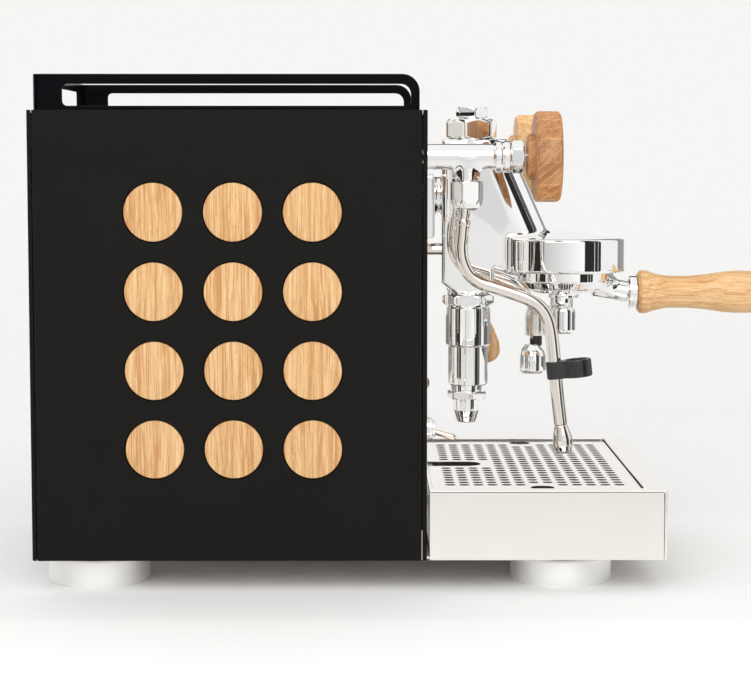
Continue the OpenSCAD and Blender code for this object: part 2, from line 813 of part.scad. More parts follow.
module valve_body()
    difference() {
        union() {
            translate([0, 0, valve_z])
                y_turned([[0, valve_rear_d], [8.7, valve_rear_d], [8.7, collar_d], [10, collar_d],
                    [10.8, collar_d + 1], [10.8, collar_d + 4.5], [10.2, collar_d + 5.5],
                    [10.8, collar_d + 6.5], [10.8, gland_d - 1], [10, gland_d], [0, gland_d]]);
            translate([0, fy(valve_branch_d), 0])
                z_rod(7.9, 273.7, valve_z);
        }
        translate([0, 0, valve_z])
            y_turned([[0, valve_rear_d - 1], [3, valve_rear_d - 1], [3, 301],
                [spindle_r + 0.05, 301], [spindle_r + 0.05, gland_d + 1], [0, gland_d + 1]]);
        translate([0, fy(valve_branch_d), 0])
            z_rod(2.4, 272, valve_z - 1);
    }

module valve_bodies() color([0.82, 0.83, 0.84])
    on_both_sides(valve_x)
        valve_body();

module gland_nuts() color([0.82, 0.83, 0.84])
    on_both_sides(valve_x)
        translate([0, 0, valve_z])
            difference() {
                y_hex(11.4, gland_d, knob_d - 1.2);
                y_rod(spindle_r + 0.05, gland_d - 1, knob_d);
            }

module wand_nuts() color([0.82, 0.83, 0.84])
    on_both_sides(valve_x)
        translate([0, fy(valve_branch_d), 0])
            difference() {
                union() {
                    z_hex(11.8, 258, 273.7);
                    z_turned([[0, 253.7], [7, 253.7], [9.8, 256], [10.2, 258 + eps],
                        [0, 258 + eps]]);
                }
                z_rod(7.8, 257, 275);
                z_rod(5, 252, 258);
            }

module spindle()
    translate([0, 0, valve_z])
        y_rod(spindle_r, 304, knob_d + 6);

module knob()
    translate([0, 0, valve_z])
        difference() {
            union() {
                y_turned([[0, knob_d], [14, knob_d], [15.5, knob_d + 2], [15.5, knob_disc_d + 1],
                    [0, knob_disc_d + 1]]);
                translate([0, fy(knob_disc_d), 0])
                    rotate([90, 6, 0])
                        cylinder(r = knob_dia / 2, h = knob_front_d - knob_disc_d,
                            $fn = knob_sides);
            }
            y_rod(spindle_r, knob_d - 1, knob_d + 6);
        }

module steam_spindle() color("silver") translate([-valve_x, 0, 0]) spindle();
module water_spindle() color("silver") translate([valve_x, 0, 0]) spindle();
module steam_knob() color([0.78, 0.53, 0.32]) translate([-valve_x, 0, 0]) knob();
module water_knob() color([0.9, 0.72, 0.48]) translate([valve_x, 0, 0]) knob();

// Both wands leave a ball in their nut, drop, and run forward over the tray.
wand_r = wand_dia / 2;
wand_ball = [[valve_branch_d, 272.6, 2.5], [valve_branch_d, 270.5, 6],
    [valve_branch_d, 266, 7.3], [valve_branch_d, 261.8, 5.6], [valve_branch_d, 259, 4],
    [valve_branch_d - 0.6, 252, 4], [valve_branch_d - 1.4, 246, wand_r]];
wand_bend = [[289.6, 228, wand_r], [292.3, 213, wand_r], [302, 204.3, wand_r],
    [318, 199, wand_r], [334, 193.5, wand_r], [344.5, 186, wand_r]];

module steam_wand() color([0.8, 0.76, 0.72])
    translate([-valve_x, 0, 0])
        swept(smooth(concat(wand_ball, wand_bend, [[349.8, 171.6, wand_r],
            [352.2, 151, wand_r], [354.7, 124, wand_r],
            [tip_top[0], tip_top[1], wand_r]]), 3));

module steam_tip() color([0.8, 0.76, 0.72])
    translate([-valve_x, fy(tip_top[0]), tip_top[1]])
        rotate([-tip_tilt, 0, 0])
            z_turned(concat([[0, -0.1], [wand_r, -0.1], [wand_r + 0.6, -2], [wand_r + 2.2, -8]],
                arc([wand_r - 1.6, 4.1 - tip_len], 4.1, 5, -90, 5), [[0, -tip_len]]));

module wand_grip() color([0.12, 0.12, 0.12])
    translate([-valve_x, fy(grip_mid[0]), grip_mid[1]])
        rotate([-6, 0, 0])
            difference() {
                union() {
                    z_rod(6.2, -6.2, 6.2);
                    translate([0, -15, 0])
                        z_rod(10, -5.6, 5.6);
                    translate([-4, -9, -5.8])
                        cube([8, 7, 11.6]);
                }
                z_rod(wand_r + 0.25, -8, 8);
                translate([0, -15, 0])
                    z_rod(7.4, -8, 8);
            }

water_end = [349.6, 150];
module water_wand() color([0.8, 0.76, 0.72])
    translate([valve_x, 0, 0])
        swept(smooth(concat(wand_ball, wand_bend, [[348.6, 176, wand_r],
            [water_end[0], 164, wand_r], [water_end[0], water_end[1], wand_r]]), 3));

module water_sleeve() color([0.72, 0.69, 0.66])
    translate([valve_x, fy(water_end[0]), 0])
        difference() {
            z_rod(6.5, 152, 170);
            z_rod(wand_r + 0.9, 151, 171);
        }

module water_nozzle() color([0.84, 0.85, 0.86])
    translate([valve_x, fy(water_end[0]), 0])
        difference() {
            z_turned(concat([[0, 149.9], [5.2, 149.9], [5.6, 147.5], [8, 144.5], [10, 141],
                    [10.6, 137]],
                arc([7.6, 127], 3, 0, -90, 4), [[0, 124]]));
            z_rod(7, 123, 138);
        }

// ---- Controls, gauge and inlet ----

module switch_bezel() color([0.8, 0.8, 0.8])
    translate([switch_x, 0, switch_z])
        difference() {
            union() {
                y_rod(5, front_sheet_d - 18, front_sheet_d + sheet_t);
                y_rod(8.2, front_sheet_d + sheet_t, case_d + 2);
                y_hex(7.6, case_d + 2 - eps, case_d + 4.6);
                y_rod(5, case_d + 4.6 - eps, case_d + 7);
            }
            y_rod(4.2, front_sheet_d, case_d + 8);
        }

switch_pivot_d = case_d + 2.5;
module switch_lever() color([0.85, 0.78, 0.7])
    translate([switch_x, fy(switch_pivot_d), switch_z]) {
        x_rod(1, -3.8, 3.8);
        rotate([90 + 14, 0, 0])
            z_turned(concat([[0, -2], [1.8, -2], [1.8, 5], [2.6, 15]],
                arc([0.2, 15.4], 2.4, 0, 90, 5), [[0, 17.8]]));
    }

module pilot_lamp() color([0.9, 0.6, 0.3])
    translate([switch_x, 0, lamp_z])
        y_turned([[0, front_sheet_d - 14], [3.5, front_sheet_d - 14],
            [3.5, front_sheet_d + sheet_t], [4.6, front_sheet_d + sheet_t],
            [4.6, case_d + 1], [3.6, case_d + 2.4], [0, case_d + 2.8]]);

module pressure_gauge() color([0.85, 0.85, 0.85])
    translate([gauge_x, 0, gauge_z])
        difference() {
            union() {
                y_rod(gauge_r - 2.2, front_sheet_d - 22, front_sheet_d + sheet_t);
                y_turned([[0, front_sheet_d + sheet_t], [gauge_r, front_sheet_d + sheet_t],
                    [gauge_r, case_d + 1.5], [gauge_r - 1.5, case_d + 3], [0, case_d + 3]]);
            }
            y_rod(gauge_r - 3, front_sheet_d - 2, case_d + 4);
        }

module gauge_needle() color([0.1, 0.1, 0.1])
    translate([gauge_x, 0, gauge_z]) {
        y_rod(2, front_sheet_d - 2 + 0.1, front_sheet_d + 1);
        rotate([0, -60, 0])
            block([-14, 4], [front_sheet_d, front_sheet_d + 0.6], [-0.6, 0.6]);
    }

module power_inlet() color([0.1, 0.1, 0.1])
    translate([inlet_x, 0, inlet_z])
        difference() {
            union() {
                block([-13.8, 13.8], [sheet_t, 26], [-10.3, 10.3]);
                block([-16, 16], [0, sheet_t], [-12.5, 12.5]);
            }
            difference() {
                block([-12, 12], [-1, 18], [-8.2, 8.2]);
                for (x = [-7, 0, 7])
                    block([x - 1, x + 1], [3, 19], [-2.5, 2.5]);
            }
        }

module panel_screws() color("silver")
    for (x = [-screw_x, screw_x], z = [foot_h + 30, top_sheet_z - 14])
        translate([x, 0, z])
            difference() {
                union() {
                    y_rod(3.4, 0, sheet_t);
                    y_rod(screw_r, sheet_t - eps, 7);
                }
                y_hex(1.5, -1, 0.7);
            }

chassis();
front_panel();
rear_panel();
top_plate();
side_panel_left();
side_panel_right();
backing_panels();
wood_discs();
cup_tray();
cup_rail();
feet();
drip_tray();
drip_grate();
water_tank();
tank_lid();
boiler();
heating_element();
safety_valve();
pressurestat();
pump();
control_box();
thermo_pipes();
feed_pipes();
water_hoses();
group_body();
group_cap();
group_cap_nut();
group_gasket();
shower_screen();
lever_cam();
cam_nut();
brew_lever();
lever_grip();
lower_chamber();
drain_nozzle();
portafilter();
filter_basket();
double_spout();
handle_ferrule();
portafilter_handle();
valve_bodies();
gland_nuts();
wand_nuts();
steam_spindle();
steam_knob();
steam_wand();
steam_tip();
wand_grip();
water_spindle();
water_knob();
water_wand();
water_sleeve();
water_nozzle();
switch_bezel();
switch_lever();
pilot_lamp();
pressure_gauge();
gauge_needle();
power_inlet();
panel_screws();
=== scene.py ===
import json
import math
import bmesh
import bpy
import numpy as np
from mathutils import Matrix, Vector


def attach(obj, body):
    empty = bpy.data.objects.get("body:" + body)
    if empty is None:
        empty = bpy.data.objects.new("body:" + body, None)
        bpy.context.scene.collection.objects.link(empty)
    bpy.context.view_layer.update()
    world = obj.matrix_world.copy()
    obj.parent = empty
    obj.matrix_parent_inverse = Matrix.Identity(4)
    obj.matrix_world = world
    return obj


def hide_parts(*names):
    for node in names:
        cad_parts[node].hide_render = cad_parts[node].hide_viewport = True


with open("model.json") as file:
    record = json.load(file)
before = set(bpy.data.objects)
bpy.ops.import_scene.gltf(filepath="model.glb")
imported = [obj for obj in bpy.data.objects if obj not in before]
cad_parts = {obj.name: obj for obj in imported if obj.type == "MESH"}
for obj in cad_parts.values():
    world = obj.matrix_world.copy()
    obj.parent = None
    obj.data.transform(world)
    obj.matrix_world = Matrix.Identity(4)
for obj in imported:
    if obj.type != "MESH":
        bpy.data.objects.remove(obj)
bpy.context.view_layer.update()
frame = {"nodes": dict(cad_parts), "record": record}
NODES = frame["nodes"]
# Pieces are given in mm: x across, d forward from the case's rear face, and z up
REAR = 273.0  # Y of that rear face in the row frame


# ---------------------------------------------------------------- materials
class Shader:
    """A node material. Coordinates are the object's own, in millimetres."""

    def __init__(self, name, **sockets):
        self.mat = bpy.data.materials.new(name)
        self.mat.use_nodes = True
        self.tree = self.mat.node_tree
        self.bsdf = self.tree.nodes["Principled BSDF"]
        for key, value in sockets.items():
            self.bsdf.inputs[key.replace("_", " ")].default_value = value
        coord = self.add("ShaderNodeTexCoord")
        self.mm = self.scaled(coord.outputs["Object"], (1000.0, 1000.0, 1000.0))

    def add(self, kind, inputs=(), **props):
        """A node with its properties and its inputs set. An input is a value or an output."""
        node = self.tree.nodes.new(kind)
        for key, value in props.items():
            setattr(node, key, value)
        for key, value in dict(inputs).items():
            if isinstance(value, bpy.types.NodeSocket):
                self.tree.links.new(value, node.inputs[key])
            else:
                node.inputs[key].default_value = value
        return node

    def vector_math(self, kind, *inputs):
        return self.add("ShaderNodeVectorMath", enumerate(inputs), operation=kind).outputs[0]

    def scaled(self, vector, scale):
        """The coordinates multiplied by a scale per axis."""
        return self.vector_math("MULTIPLY", vector, scale)

    def moved(self, vector, amount, reach):
        """The coordinates shifted by amount times reach."""
        return self.vector_math("MULTIPLY_ADD", amount, reach, vector)

    def noise(self, vector, scale, detail=3.0, rough=0.5):
        return self.add("ShaderNodeTexNoise", {"Vector": vector, "Scale": scale, "Detail": detail,
                                               "Roughness": rough}).outputs["Fac"]

    def remap(self, value, low, high, to_low, to_high):
        """The value's range from low to high spread over to_low to to_high, and clamped."""
        return self.add("ShaderNodeMapRange", {
            "Value": value, "From Min": low, "From Max": high, "To Min": to_low,
            "To Max": to_high}).outputs["Result"]

    def split(self, vector):
        """The vector's X, Y and Z."""
        return tuple(self.add("ShaderNodeSeparateXYZ", {0: vector}).outputs)

    def facing(self):
        """The X, Y and Z of the surface's own normal, without bumps."""
        return self.split(self.add("ShaderNodeNewGeometry").outputs["True Normal"])

    def math(self, kind, a, b=0.0):
        return self.add("ShaderNodeMath", {0: a, 1: b}, operation=kind).outputs[0]

    def reach(self, a, b):
        """The distance from the origin of the point a, b."""
        return self.math("SQRT", self.math("ADD", self.math("MULTIPLY", a, a),
                                           self.math("MULTIPLY", b, b)))

    def ramp(self, value, stops):
        node = self.add("ShaderNodeValToRGB", {0: value})
        while len(node.color_ramp.elements) < len(stops):
            node.color_ramp.elements.new(1.0)
        for element, (position, colour) in zip(node.color_ramp.elements, stops):
            element.position = position
            element.color = (*colour, 1.0)
        return node.outputs["Color"]

    def mix(self, factor, a, b, kind="MIX"):
        a, b = ((*v, 1.0) if isinstance(v, tuple) else v for v in (a, b))
        return self.add("ShaderNodeMix", {0: factor, 6: a, 7: b}, data_type="RGBA",
                        blend_type=kind).outputs[2]

    def to(self, output, socket):
        self.tree.links.new(output, self.bsdf.inputs[socket])

    def bump(self, height, strength, distance):
        node = self.add("ShaderNodeBump", {"Strength": strength, "Distance": distance * 0.001,
                                           "Height": height})
        self.to(node.outputs["Normal"], "Normal")


def srgb(r, g, b):
    """A colour given as 0 to 255, as linear light."""
    def one(v):
        v /= 255.0
        return v / 12.92 if v <= 0.04045 else ((v + 0.055) / 1.055) ** 2.4

    return one(r), one(g), one(b)


def metal(name, tint, low, high, brush=(1.0, 1.0, 1.0), grain=1.0, bump=0.0, wear=0.15,
          haze=0.6, shaded_cut_edges=None):
    """A metal whose roughness and tint vary with a noise stretched along the brushing and, by
    haze and wear, with slow clouds. Cut edges, where a level sheet is punched, can be rough and
    painted dark, partly their own colour and partly painted shade in the holes and on the rims."""
    m = Shader(name, Metallic=1.0)
    brushed = m.noise(m.scaled(m.mm, brush), grain, 4.0, 0.6)
    cloudy = m.noise(m.mm, 0.03, 3.0, 0.6)
    mixed = m.math("ADD", brushed, m.math("MULTIPLY", cloudy, haze))
    middle = 0.5 + 0.5 * haze
    rough = m.remap(mixed, middle - 0.3, middle + 0.3, low, high)
    dark = tuple(c * (1.0 - wear) for c in tint)
    colour = m.mix(m.remap(cloudy, 0.3, 0.7, 0.0, 1.0), dark, tint)
    if shaded_cut_edges:
        # Upright faces, the hole walls and rims, turn rough and dark: the darkness partly their own,
        # partly painted shade
        rough_shaded_edge = m.remap(m.math("ABSOLUTE", m.facing()[2]), 0.25, 0.6, 1.0, 0.0)
        colour = m.mix(rough_shaded_edge, colour, shaded_cut_edges)
        rough = m.math("MAXIMUM", rough, m.math("MULTIPLY", rough_shaded_edge, 0.5))
    m.to(rough, "Roughness")
    m.to(colour, "Base Color")
    if bump:
        m.bump(brushed, 1.0, bump)
    return m.mat


def painted_facet_shade(m, x):
    """A painted shade for each facet of the knob on the valve at x, set by the way the facet
    faces, and a painted highlight line on each corner."""
    across, _, up = m.split(m.mm)
    across = m.math("SUBTRACT", across, x)
    up = m.math("SUBTRACT", up, KNOB_Z)
    angle = m.math("SUBTRACT", m.math("ARCTAN2", up, across), math.radians(KNOB_PHASE))
    count = m.math("DIVIDE", angle, 2 * math.pi / KNOB_SIDES)
    turn = m.math("MULTIPLY", m.math("SUBTRACT", m.math("FLOOR", count), NEAR_FACET),
                  math.radians(60.0))
    # Painted shade that changes from facet to facet with the way each one faces
    facet_shade = m.math("SUBTRACT", FACET_SHADE_MEAN, m.math("MULTIPLY", m.math("COSINE", turn), FACET_SHADE_SWING))
    from_middle = m.math("ABSOLUTE", m.math("SUBTRACT", m.math("FRACT", count), 0.5))
    # A painted highlight line along each corner between facets
    corner_highlight = m.math("MULTIPLY", m.math("GREATER_THAN", from_middle, CORNER_FROM), CORNER_HIGHLIGHT)
    rim = m.math("GREATER_THAN", m.reach(across, up), KNOB_FACE_R)
    return m.math("ADD", 1.0, m.math("MULTIPLY", rim, m.math("ADD", facet_shade, corner_highlight)))


def wood(name, light, middle, dark, pore, along=2, turn=None, boards=False, knob_x=None,
         wave=9.0, lines_per_mm=0.9, spread=0.11):
    """Open-grained oak whose grain runs on one axis, after turning it by the angles in turn. The
    grain wanders by wave, in mm, and a smaller spread gives it more contrast. With boards, each
    disc on the case's sides is cut from another board. With knob_x, the wood is a knob's: its
    front and back show upright grain, and its facets carry painted shade and highlights."""
    m = Shader(name)
    p = m.mm
    if turn:
        angles = tuple(math.radians(a) for a in turn)
        turned_p = m.add("ShaderNodeVectorRotate", {"Vector": p, "Rotation": angles},
                         rotation_type="EULER_XYZ").outputs[0]
        if knob_x is None:
            p = turned_p
        else:
            face = m.remap(m.math("ABSOLUTE", m.facing()[1]), 0.75, 0.85, 0.0, 1.0)
            p = m.mix(face, turned_p, p)
    if boards:
        # The shift puts the middle of every disc in the middle of a cell
        shift = (900.0, DISC_PITCH * 20.5 - REAR + DISC_D, DISC_PITCH * 20.5 - DISC_Z)
        cell = m.vector_math("SNAP", m.vector_math("ADD", p, shift),
                             (100.0, DISC_PITCH, DISC_PITCH))
        pick = m.add("ShaderNodeTexWhiteNoise", {"Vector": cell}, noise_dimensions="3D")
        p = m.moved(p, pick.outputs["Color"], (300.0, 300.0, 300.0))

    def stretched(on_grain, over_grain=1.0):
        return tuple(on_grain if i == along else over_grain for i in range(3))

    wander = m.noise(m.scaled(p, stretched(0.012, 0.05)), 1.0, 2.0, 0.5)
    p = m.moved(p, wander, stretched(0.0, wave))
    lines = m.scaled(p, stretched(0.02))
    broad = m.noise(lines, 0.28, 2.0, 0.6)
    fine = m.noise(lines, lines_per_mm, 3.0, 0.7)
    dashes = m.noise(m.scaled(p, stretched(0.16)), 2.2, 2.0)
    band = m.math("ADD", m.math("MULTIPLY", broad, 0.4), m.math("MULTIPLY", fine, 0.6))
    colour = m.ramp(m.remap(band, 0.5 - spread, 0.5 + spread, 0.0, 1.0),
                    [(0.0, dark), (0.5, middle), (1.0, light)])
    streak = m.remap(dashes, 0.58, 0.75, 0.0, 0.6)
    colour = m.mix(streak, colour, pore)
    if knob_x is not None:
        # Painted shade on the knob's facets, with painted highlights on their corners
        colour = m.mix(1.0, colour, painted_facet_shade(m, knob_x), "MULTIPLY")
    m.to(colour, "Base Color")
    m.to(m.remap(fine, 0.3, 0.7, WOOD_ROUGH * 1.1, WOOD_ROUGH * 0.85), "Roughness")
    m.bump(m.math("SUBTRACT", fine, m.math("MULTIPLY", streak, 0.8)), 0.5, 0.08)
    return m.mat


def painted(name, colour, rough, bump, grain, specular=0.5, coat=0.0):
    """Paint, rubber or plastic with a fine orange peel of one grain and slow clouds in its tint."""
    m = Shader(name, Roughness=rough, Coat_Weight=coat, Coat_Roughness=0.04)
    m.bsdf.inputs["Specular IOR Level"].default_value = specular
    orange = m.noise(m.mm, grain, 2.0, 0.5)
    cloudy = m.noise(m.mm, 0.02, 3.0, 0.6)
    m.to(m.mix(m.remap(cloudy, 0.3, 0.7, 0.0, 1.0), tuple(c * 0.93 for c in colour), colour),
         "Base Color")
    m.to(m.remap(orange, 0.3, 0.7, rough * 0.9, rough * 1.1), "Roughness")
    m.bump(orange, 0.4, bump)
    return m.mat


def clear(name, tint, rough, transmission):
    """Glass or clear plastic."""
    m = Shader(name, Transmission_Weight=transmission, IOR=1.45)
    haze = m.noise(m.mm, 0.3, 3.0, 0.5)
    m.to(m.remap(haze, 0.3, 0.7, rough * 0.7, rough * 1.3), "Roughness")
    m.to(m.mix(haze, tint, tuple(c * 0.93 for c in tint)), "Base Color")
    return m.mat


DISC_PITCH, DISC_D, DISC_Z = 52.6, 82.7, 96.0
VALVE_X, KNOB_Z = 92.0, 290.0
KNOB_SIDES, KNOB_PHASE, KNOB_FACE_R = 12, 7.0, 29.2
# The facet nearest the camera is painted darkest, and the painted shade runs round the knob in a wave
NEAR_FACET, FACET_SHADE_MEAN, FACET_SHADE_SWING = 5, 0.05, 0.24
# Where on each facet the painted highlight line at its corners starts, and how bright it is
CORNER_FROM, CORNER_HIGHLIGHT = 0.477, 0.3
WOOD_ROUGH = 0.42
OAK = dict(light=srgb(234, 197, 149), middle=srgb(221, 176, 121), dark=srgb(198, 141, 83),
           pore=srgb(182, 126, 74))
DISC_OAK = dict(light=srgb(224, 186, 135), middle=srgb(209, 164, 109), dark=srgb(186, 130, 74),
                pore=srgb(172, 116, 66))
BROWN_OAK = dict(light=srgb(206, 152, 100), middle=srgb(182, 126, 76), dark=srgb(156, 100, 56),
                 pore=srgb(128, 80, 42))
SHEET = dict(brush=(0.02, 0.02, 1.5), wear=0.02, haze=0.3)
TUBE = dict(brush=(1.0, 1.0, 0.05), grain=1.5, wear=0.05)
MATERIALS = {
    "black_paint": painted("BlackPowderCoat", (0.0082, 0.0078, 0.007), 0.6, 0.03, 1.6, 0.08),
    "gloss_black": painted("BlackEnamel", (0.0016, 0.0024, 0.0034), 0.14, 0.01, 0.5, 0.06, 0.02),
    "stainless": metal("PolishedSheet", (0.94, 0.895, 0.85), 0.05, 0.13, bump=0.0008, **SHEET),
    "chrome": metal("Chrome", (0.95, 0.95, 0.945), 0.012, 0.035, wear=0.02),
    "satin_steel": metal("PolishedTube", (0.87, 0.82, 0.765), 0.05, 0.1, bump=0.001, **TUBE),
    "aluminium": metal("TurnedAluminium", (1.0, 0.995, 0.985), 0.42, 0.6, (0.1, 0.1, 2.5), 1.2,
                       0.03, 0.02),
    "oak_light": wood("OakLight", **OAK),
    "oak_dark": wood("OakDark", **BROWN_OAK, turn=(38.0, 20.0, 0.0)),
    "copper": metal("Copper", (0.80, 0.46, 0.32), 0.22, 0.4),
    "brass": metal("Brass", (0.80, 0.66, 0.42), 0.2, 0.35),
    "rubber": painted("Rubber", (0.012, 0.012, 0.012), 0.22, 0.15, 2.2, 0.6),
    "black_plastic": painted("BlackPlastic", (0.02, 0.02, 0.02), 0.45, 0.03, 2.0, 0.3),
    "grey_plastic": painted("GreyPlastic", (0.4, 0.4, 0.4), 0.5, 0.03, 2.0),
    "clear_plastic": clear("TankPlastic", (0.8, 0.88, 0.92), 0.2, 0.7),
    "lamp": clear("AmberLens", (0.42, 0.17, 0.05), 0.1, 0.5),
}
# Pieces and nodes whose finish is a version of their slot's
OWN_FINISH = {
    "WoodDiscs": wood("OakDiscs", **DISC_OAK, boards=True, wave=6.0, lines_per_mm=1.15, spread=0.085),
    "SteamKnob": wood("OakSteamKnob", **BROWN_OAK, turn=(-50.0, 12.0, 0.0), knob_x=-VALVE_X,
                      wave=2.0, lines_per_mm=1.3, spread=0.09),
    "WaterKnob": wood("OakWaterKnob", **OAK, knob_x=VALVE_X),
    "PortafilterHandle": wood("OakHandle", **OAK, along=1),
    # The grate's hole walls and rims are painted nearly black: partly the cut metal's own colour,
    # partly painted shade
    "DripGrate": metal("PunchedSheet", (0.94, 0.905, 0.87), 0.06, 0.14, bump=0.0008,
                       shaded_cut_edges=(0.13, 0.115, 0.1), **SHEET),
    "front_panel": metal("MirrorSheet", (0.94, 0.905, 0.87), 0.012, 0.03, bump=0.0002, **SHEET),
    "rear_panel": metal("BrushedSheet", (0.86, 0.84, 0.81), 0.24, 0.36, (0.02, 0.02, 2.0), 1.0,
                        0.003, 0.03),
    # The basin's inside is painted dark grey: painted shade standing in for the shadow inside the
    # tray
    "TrayBasin": metal("TrayInsidePaintedShade", (0.34, 0.31, 0.28), 0.3, 0.5, wear=0.2),
    "WaterSleeve": metal("SatinSleeve", (0.85, 0.81, 0.77), 0.2, 0.3, bump=0.002, **TUBE),
    "SwitchLever": metal("WarmNickel", (0.9, 0.79, 0.66), 0.1, 0.18, wear=0.06),
    "GaugeDial": painted("DialEnamel", (0.82, 0.81, 0.78), 0.35, 0.004, 2.0),
    "GaugeGlass": clear("GaugeGlass", (0.98, 0.98, 0.98), 0.02, 1.0),
    "thermo_pipes": metal("NickelledPipe", (0.83, 0.75, 0.67), 0.08, 0.16, wear=0.06),
}

# CAD nodes that no piece replaces are seen as they are, in the same finishes
SLOT_OF = {s["node"]: s["material_slot"] for s in frame["record"]["subparts"]}
for node_name, obj in NODES.items():
    obj.data.materials.clear()
    obj.data.materials.append(OWN_FINISH.get(node_name, MATERIALS[SLOT_OF[node_name]]))
    obj.data.shade_smooth()
    obj.data.set_sharp_from_angle(angle=math.radians(35))


# ---------------------------------------------------------------- mesh helpers
def row_point(x, d, z):
    """The point x across, d forward from the rear face and z up, in the row frame."""
    return np.stack([x, REAR - np.asarray(d), z], -1)


def piece(name, verts, faces, slot, body="case", stands_for=None, sharp=35.0, normals=None):
    """A piece from vertices in mm in the row frame, riding on a body. It stands for the CAD node
    of its own name, or for the nodes in stands_for."""
    mesh = bpy.data.meshes.new(name)
    mesh.from_pydata((np.asarray(verts, float) * 0.001).tolist(), [],
                     [tuple(int(i) for i in f) for f in faces])
    mesh.materials.append(OWN_FINISH.get(name, MATERIALS[slot]))
    if normals is None:
        bm = bmesh.new()
        bm.from_mesh(mesh)
        bmesh.ops.recalc_face_normals(bm, faces=bm.faces)
        bm.to_mesh(mesh)
        bm.free()
        mesh.shade_smooth()
        mesh.set_sharp_from_angle(angle=math.radians(sharp))
    else:
        mesh.shade_smooth()
        mesh.normals_split_custom_set_from_vertices(normals.tolist())
    obj = bpy.data.objects.new(name, mesh)
    bpy.context.scene.collection.objects.link(obj)
    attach(obj, body)
    if stands_for is None:
        stands_for = ("".join("_" + c.lower() if c.isupper() else c for c in name)[1:],)
    if stands_for:
        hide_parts(*stands_for)
    return obj


def merge(parts):
    """Several (vertices, faces) as one."""
    verts, faces, start = [], [], 0
    for v, f in parts:
        verts.append(np.asarray(v, float))
        faces += [tuple(i + start for i in face) for face in f]
        start += len(v)
    return np.concatenate(verts), faces


AXES = {"z": ((1, 0, 0), (0, 1, 0), (0, 0, 1)),
        "d": ((1, 0, 0), (0, 0, 1), (0, -1, 0)),
        "x": ((0, 1, 0), (0, 0, 1), (1, 0, 0))}


def placed(part, x, d, z, axis="z", turn=None):
    """A local part moved so that its own Z runs up, forward ("d") or along X ("x"), or turned by
    a matrix."""
    verts, faces = part
    m = np.array(AXES[axis], float).T if turn is None else np.array(turn)
    return verts @ m.T + np.array([x, REAR - d, z]), faces


def filleted(points, radius, steps=4):
    """The polyline with its inner corners rounded. A third number in a point is its own radius."""
    out = [np.array(points[0][:2], float)]
    for a, b, c in zip(points, points[1:], points[2:]):
        r = b[2] if len(b) > 2 else radius
        a, b, c = (np.array(q[:2], float) for q in (a, b, c))
        u, v = a - b, c - b
        lu, lv = np.linalg.norm(u), np.linalg.norm(v)
        u, v = u / lu, v / lv
        half = math.acos(max(-1.0, min(1.0, float(u @ v)))) / 2
        if r <= 0 or half > math.pi / 2 - 0.02 or half < 0.02:
            out.append(b)
            continue
        cut = min(r / math.tan(half), 0.49 * lu, 0.49 * lv)
        p, q = b + u * cut, b + v * cut
        for i in range(steps + 1):
            t = i / steps
            out.append((1 - t) ** 2 * p + 2 * t * (1 - t) * b + t * t * q)
    out.append(np.array(points[-1][:2], float))
    return np.array(out)


def dense(line, step):
    """The polyline with points added so that no segment is longer than step."""
    out = [line[0]]
    for a, b in zip(line, line[1:]):
        n = max(1, int(math.ceil(np.linalg.norm(b - a) / step)))
        out += [a + (b - a) * i / n for i in range(1, n + 1)]
    return np.array(out)


def turned(profile, sides=0, across=0.0, phase=0.0, radius=0.4, n=96, crisp=70.0):
    """A turned part from a [radius, height] profile that runs from the axis and back to it. With
    sides, it is also cut to a regular polygon that measures across from corner to corner, and
    a higher crisp gives it sharper corners."""
    line = filleted(profile, radius)
    if sides:
        line = dense(line, 0.8)
        # Each side's points crowd towards its corners
        t = (1 - np.cos(np.pi * np.arange(12) / 12)) / 2
        angles = np.concatenate([(k + t) * 2 * np.pi / sides for k in range(sides)])
        angles = angles + math.radians(phase)
        flats = math.radians(phase) + (np.arange(sides) + 0.5) * 2 * np.pi / sides
        reach = np.maximum(np.cos(angles[:, None] - flats[None]), 1e-3)
        poly = across / 2 * math.cos(math.pi / sides) / (reach ** crisp).sum(1) ** (1 / crisp)
    else:
        angles = np.arange(n) * 2 * np.pi / n
        poly = None
    n = len(angles)
    verts, rings = [], []
    for r, h in line:
        if r < 1e-6:
            rings.append([len(verts)])
            verts.append((0.0, 0.0, h))
            continue
        rr = np.full(n, r)
        if sides:
            least = np.minimum(poly, r)
            rr = least * ((r / least) ** -crisp + (poly / least) ** -crisp) ** (-1 / crisp)
        rings.append(list(range(len(verts), len(verts) + n)))
        verts += list(zip(rr * np.cos(angles), rr * np.sin(angles), np.full(n, h)))
    faces = []
    for a, b in zip(rings, rings[1:]):
        for j in range(n):
            k = (j + 1) % n
            if len(a) == 1 and len(b) == 1:
                break
            if len(a) == 1:
                faces.append((a[0], b[k], b[j]))
            elif len(b) == 1:
                faces.append((a[j], a[k], b[0]))
            else:
                faces.append((a[j], a[k], b[k], b[j]))
    return np.array(verts), faces


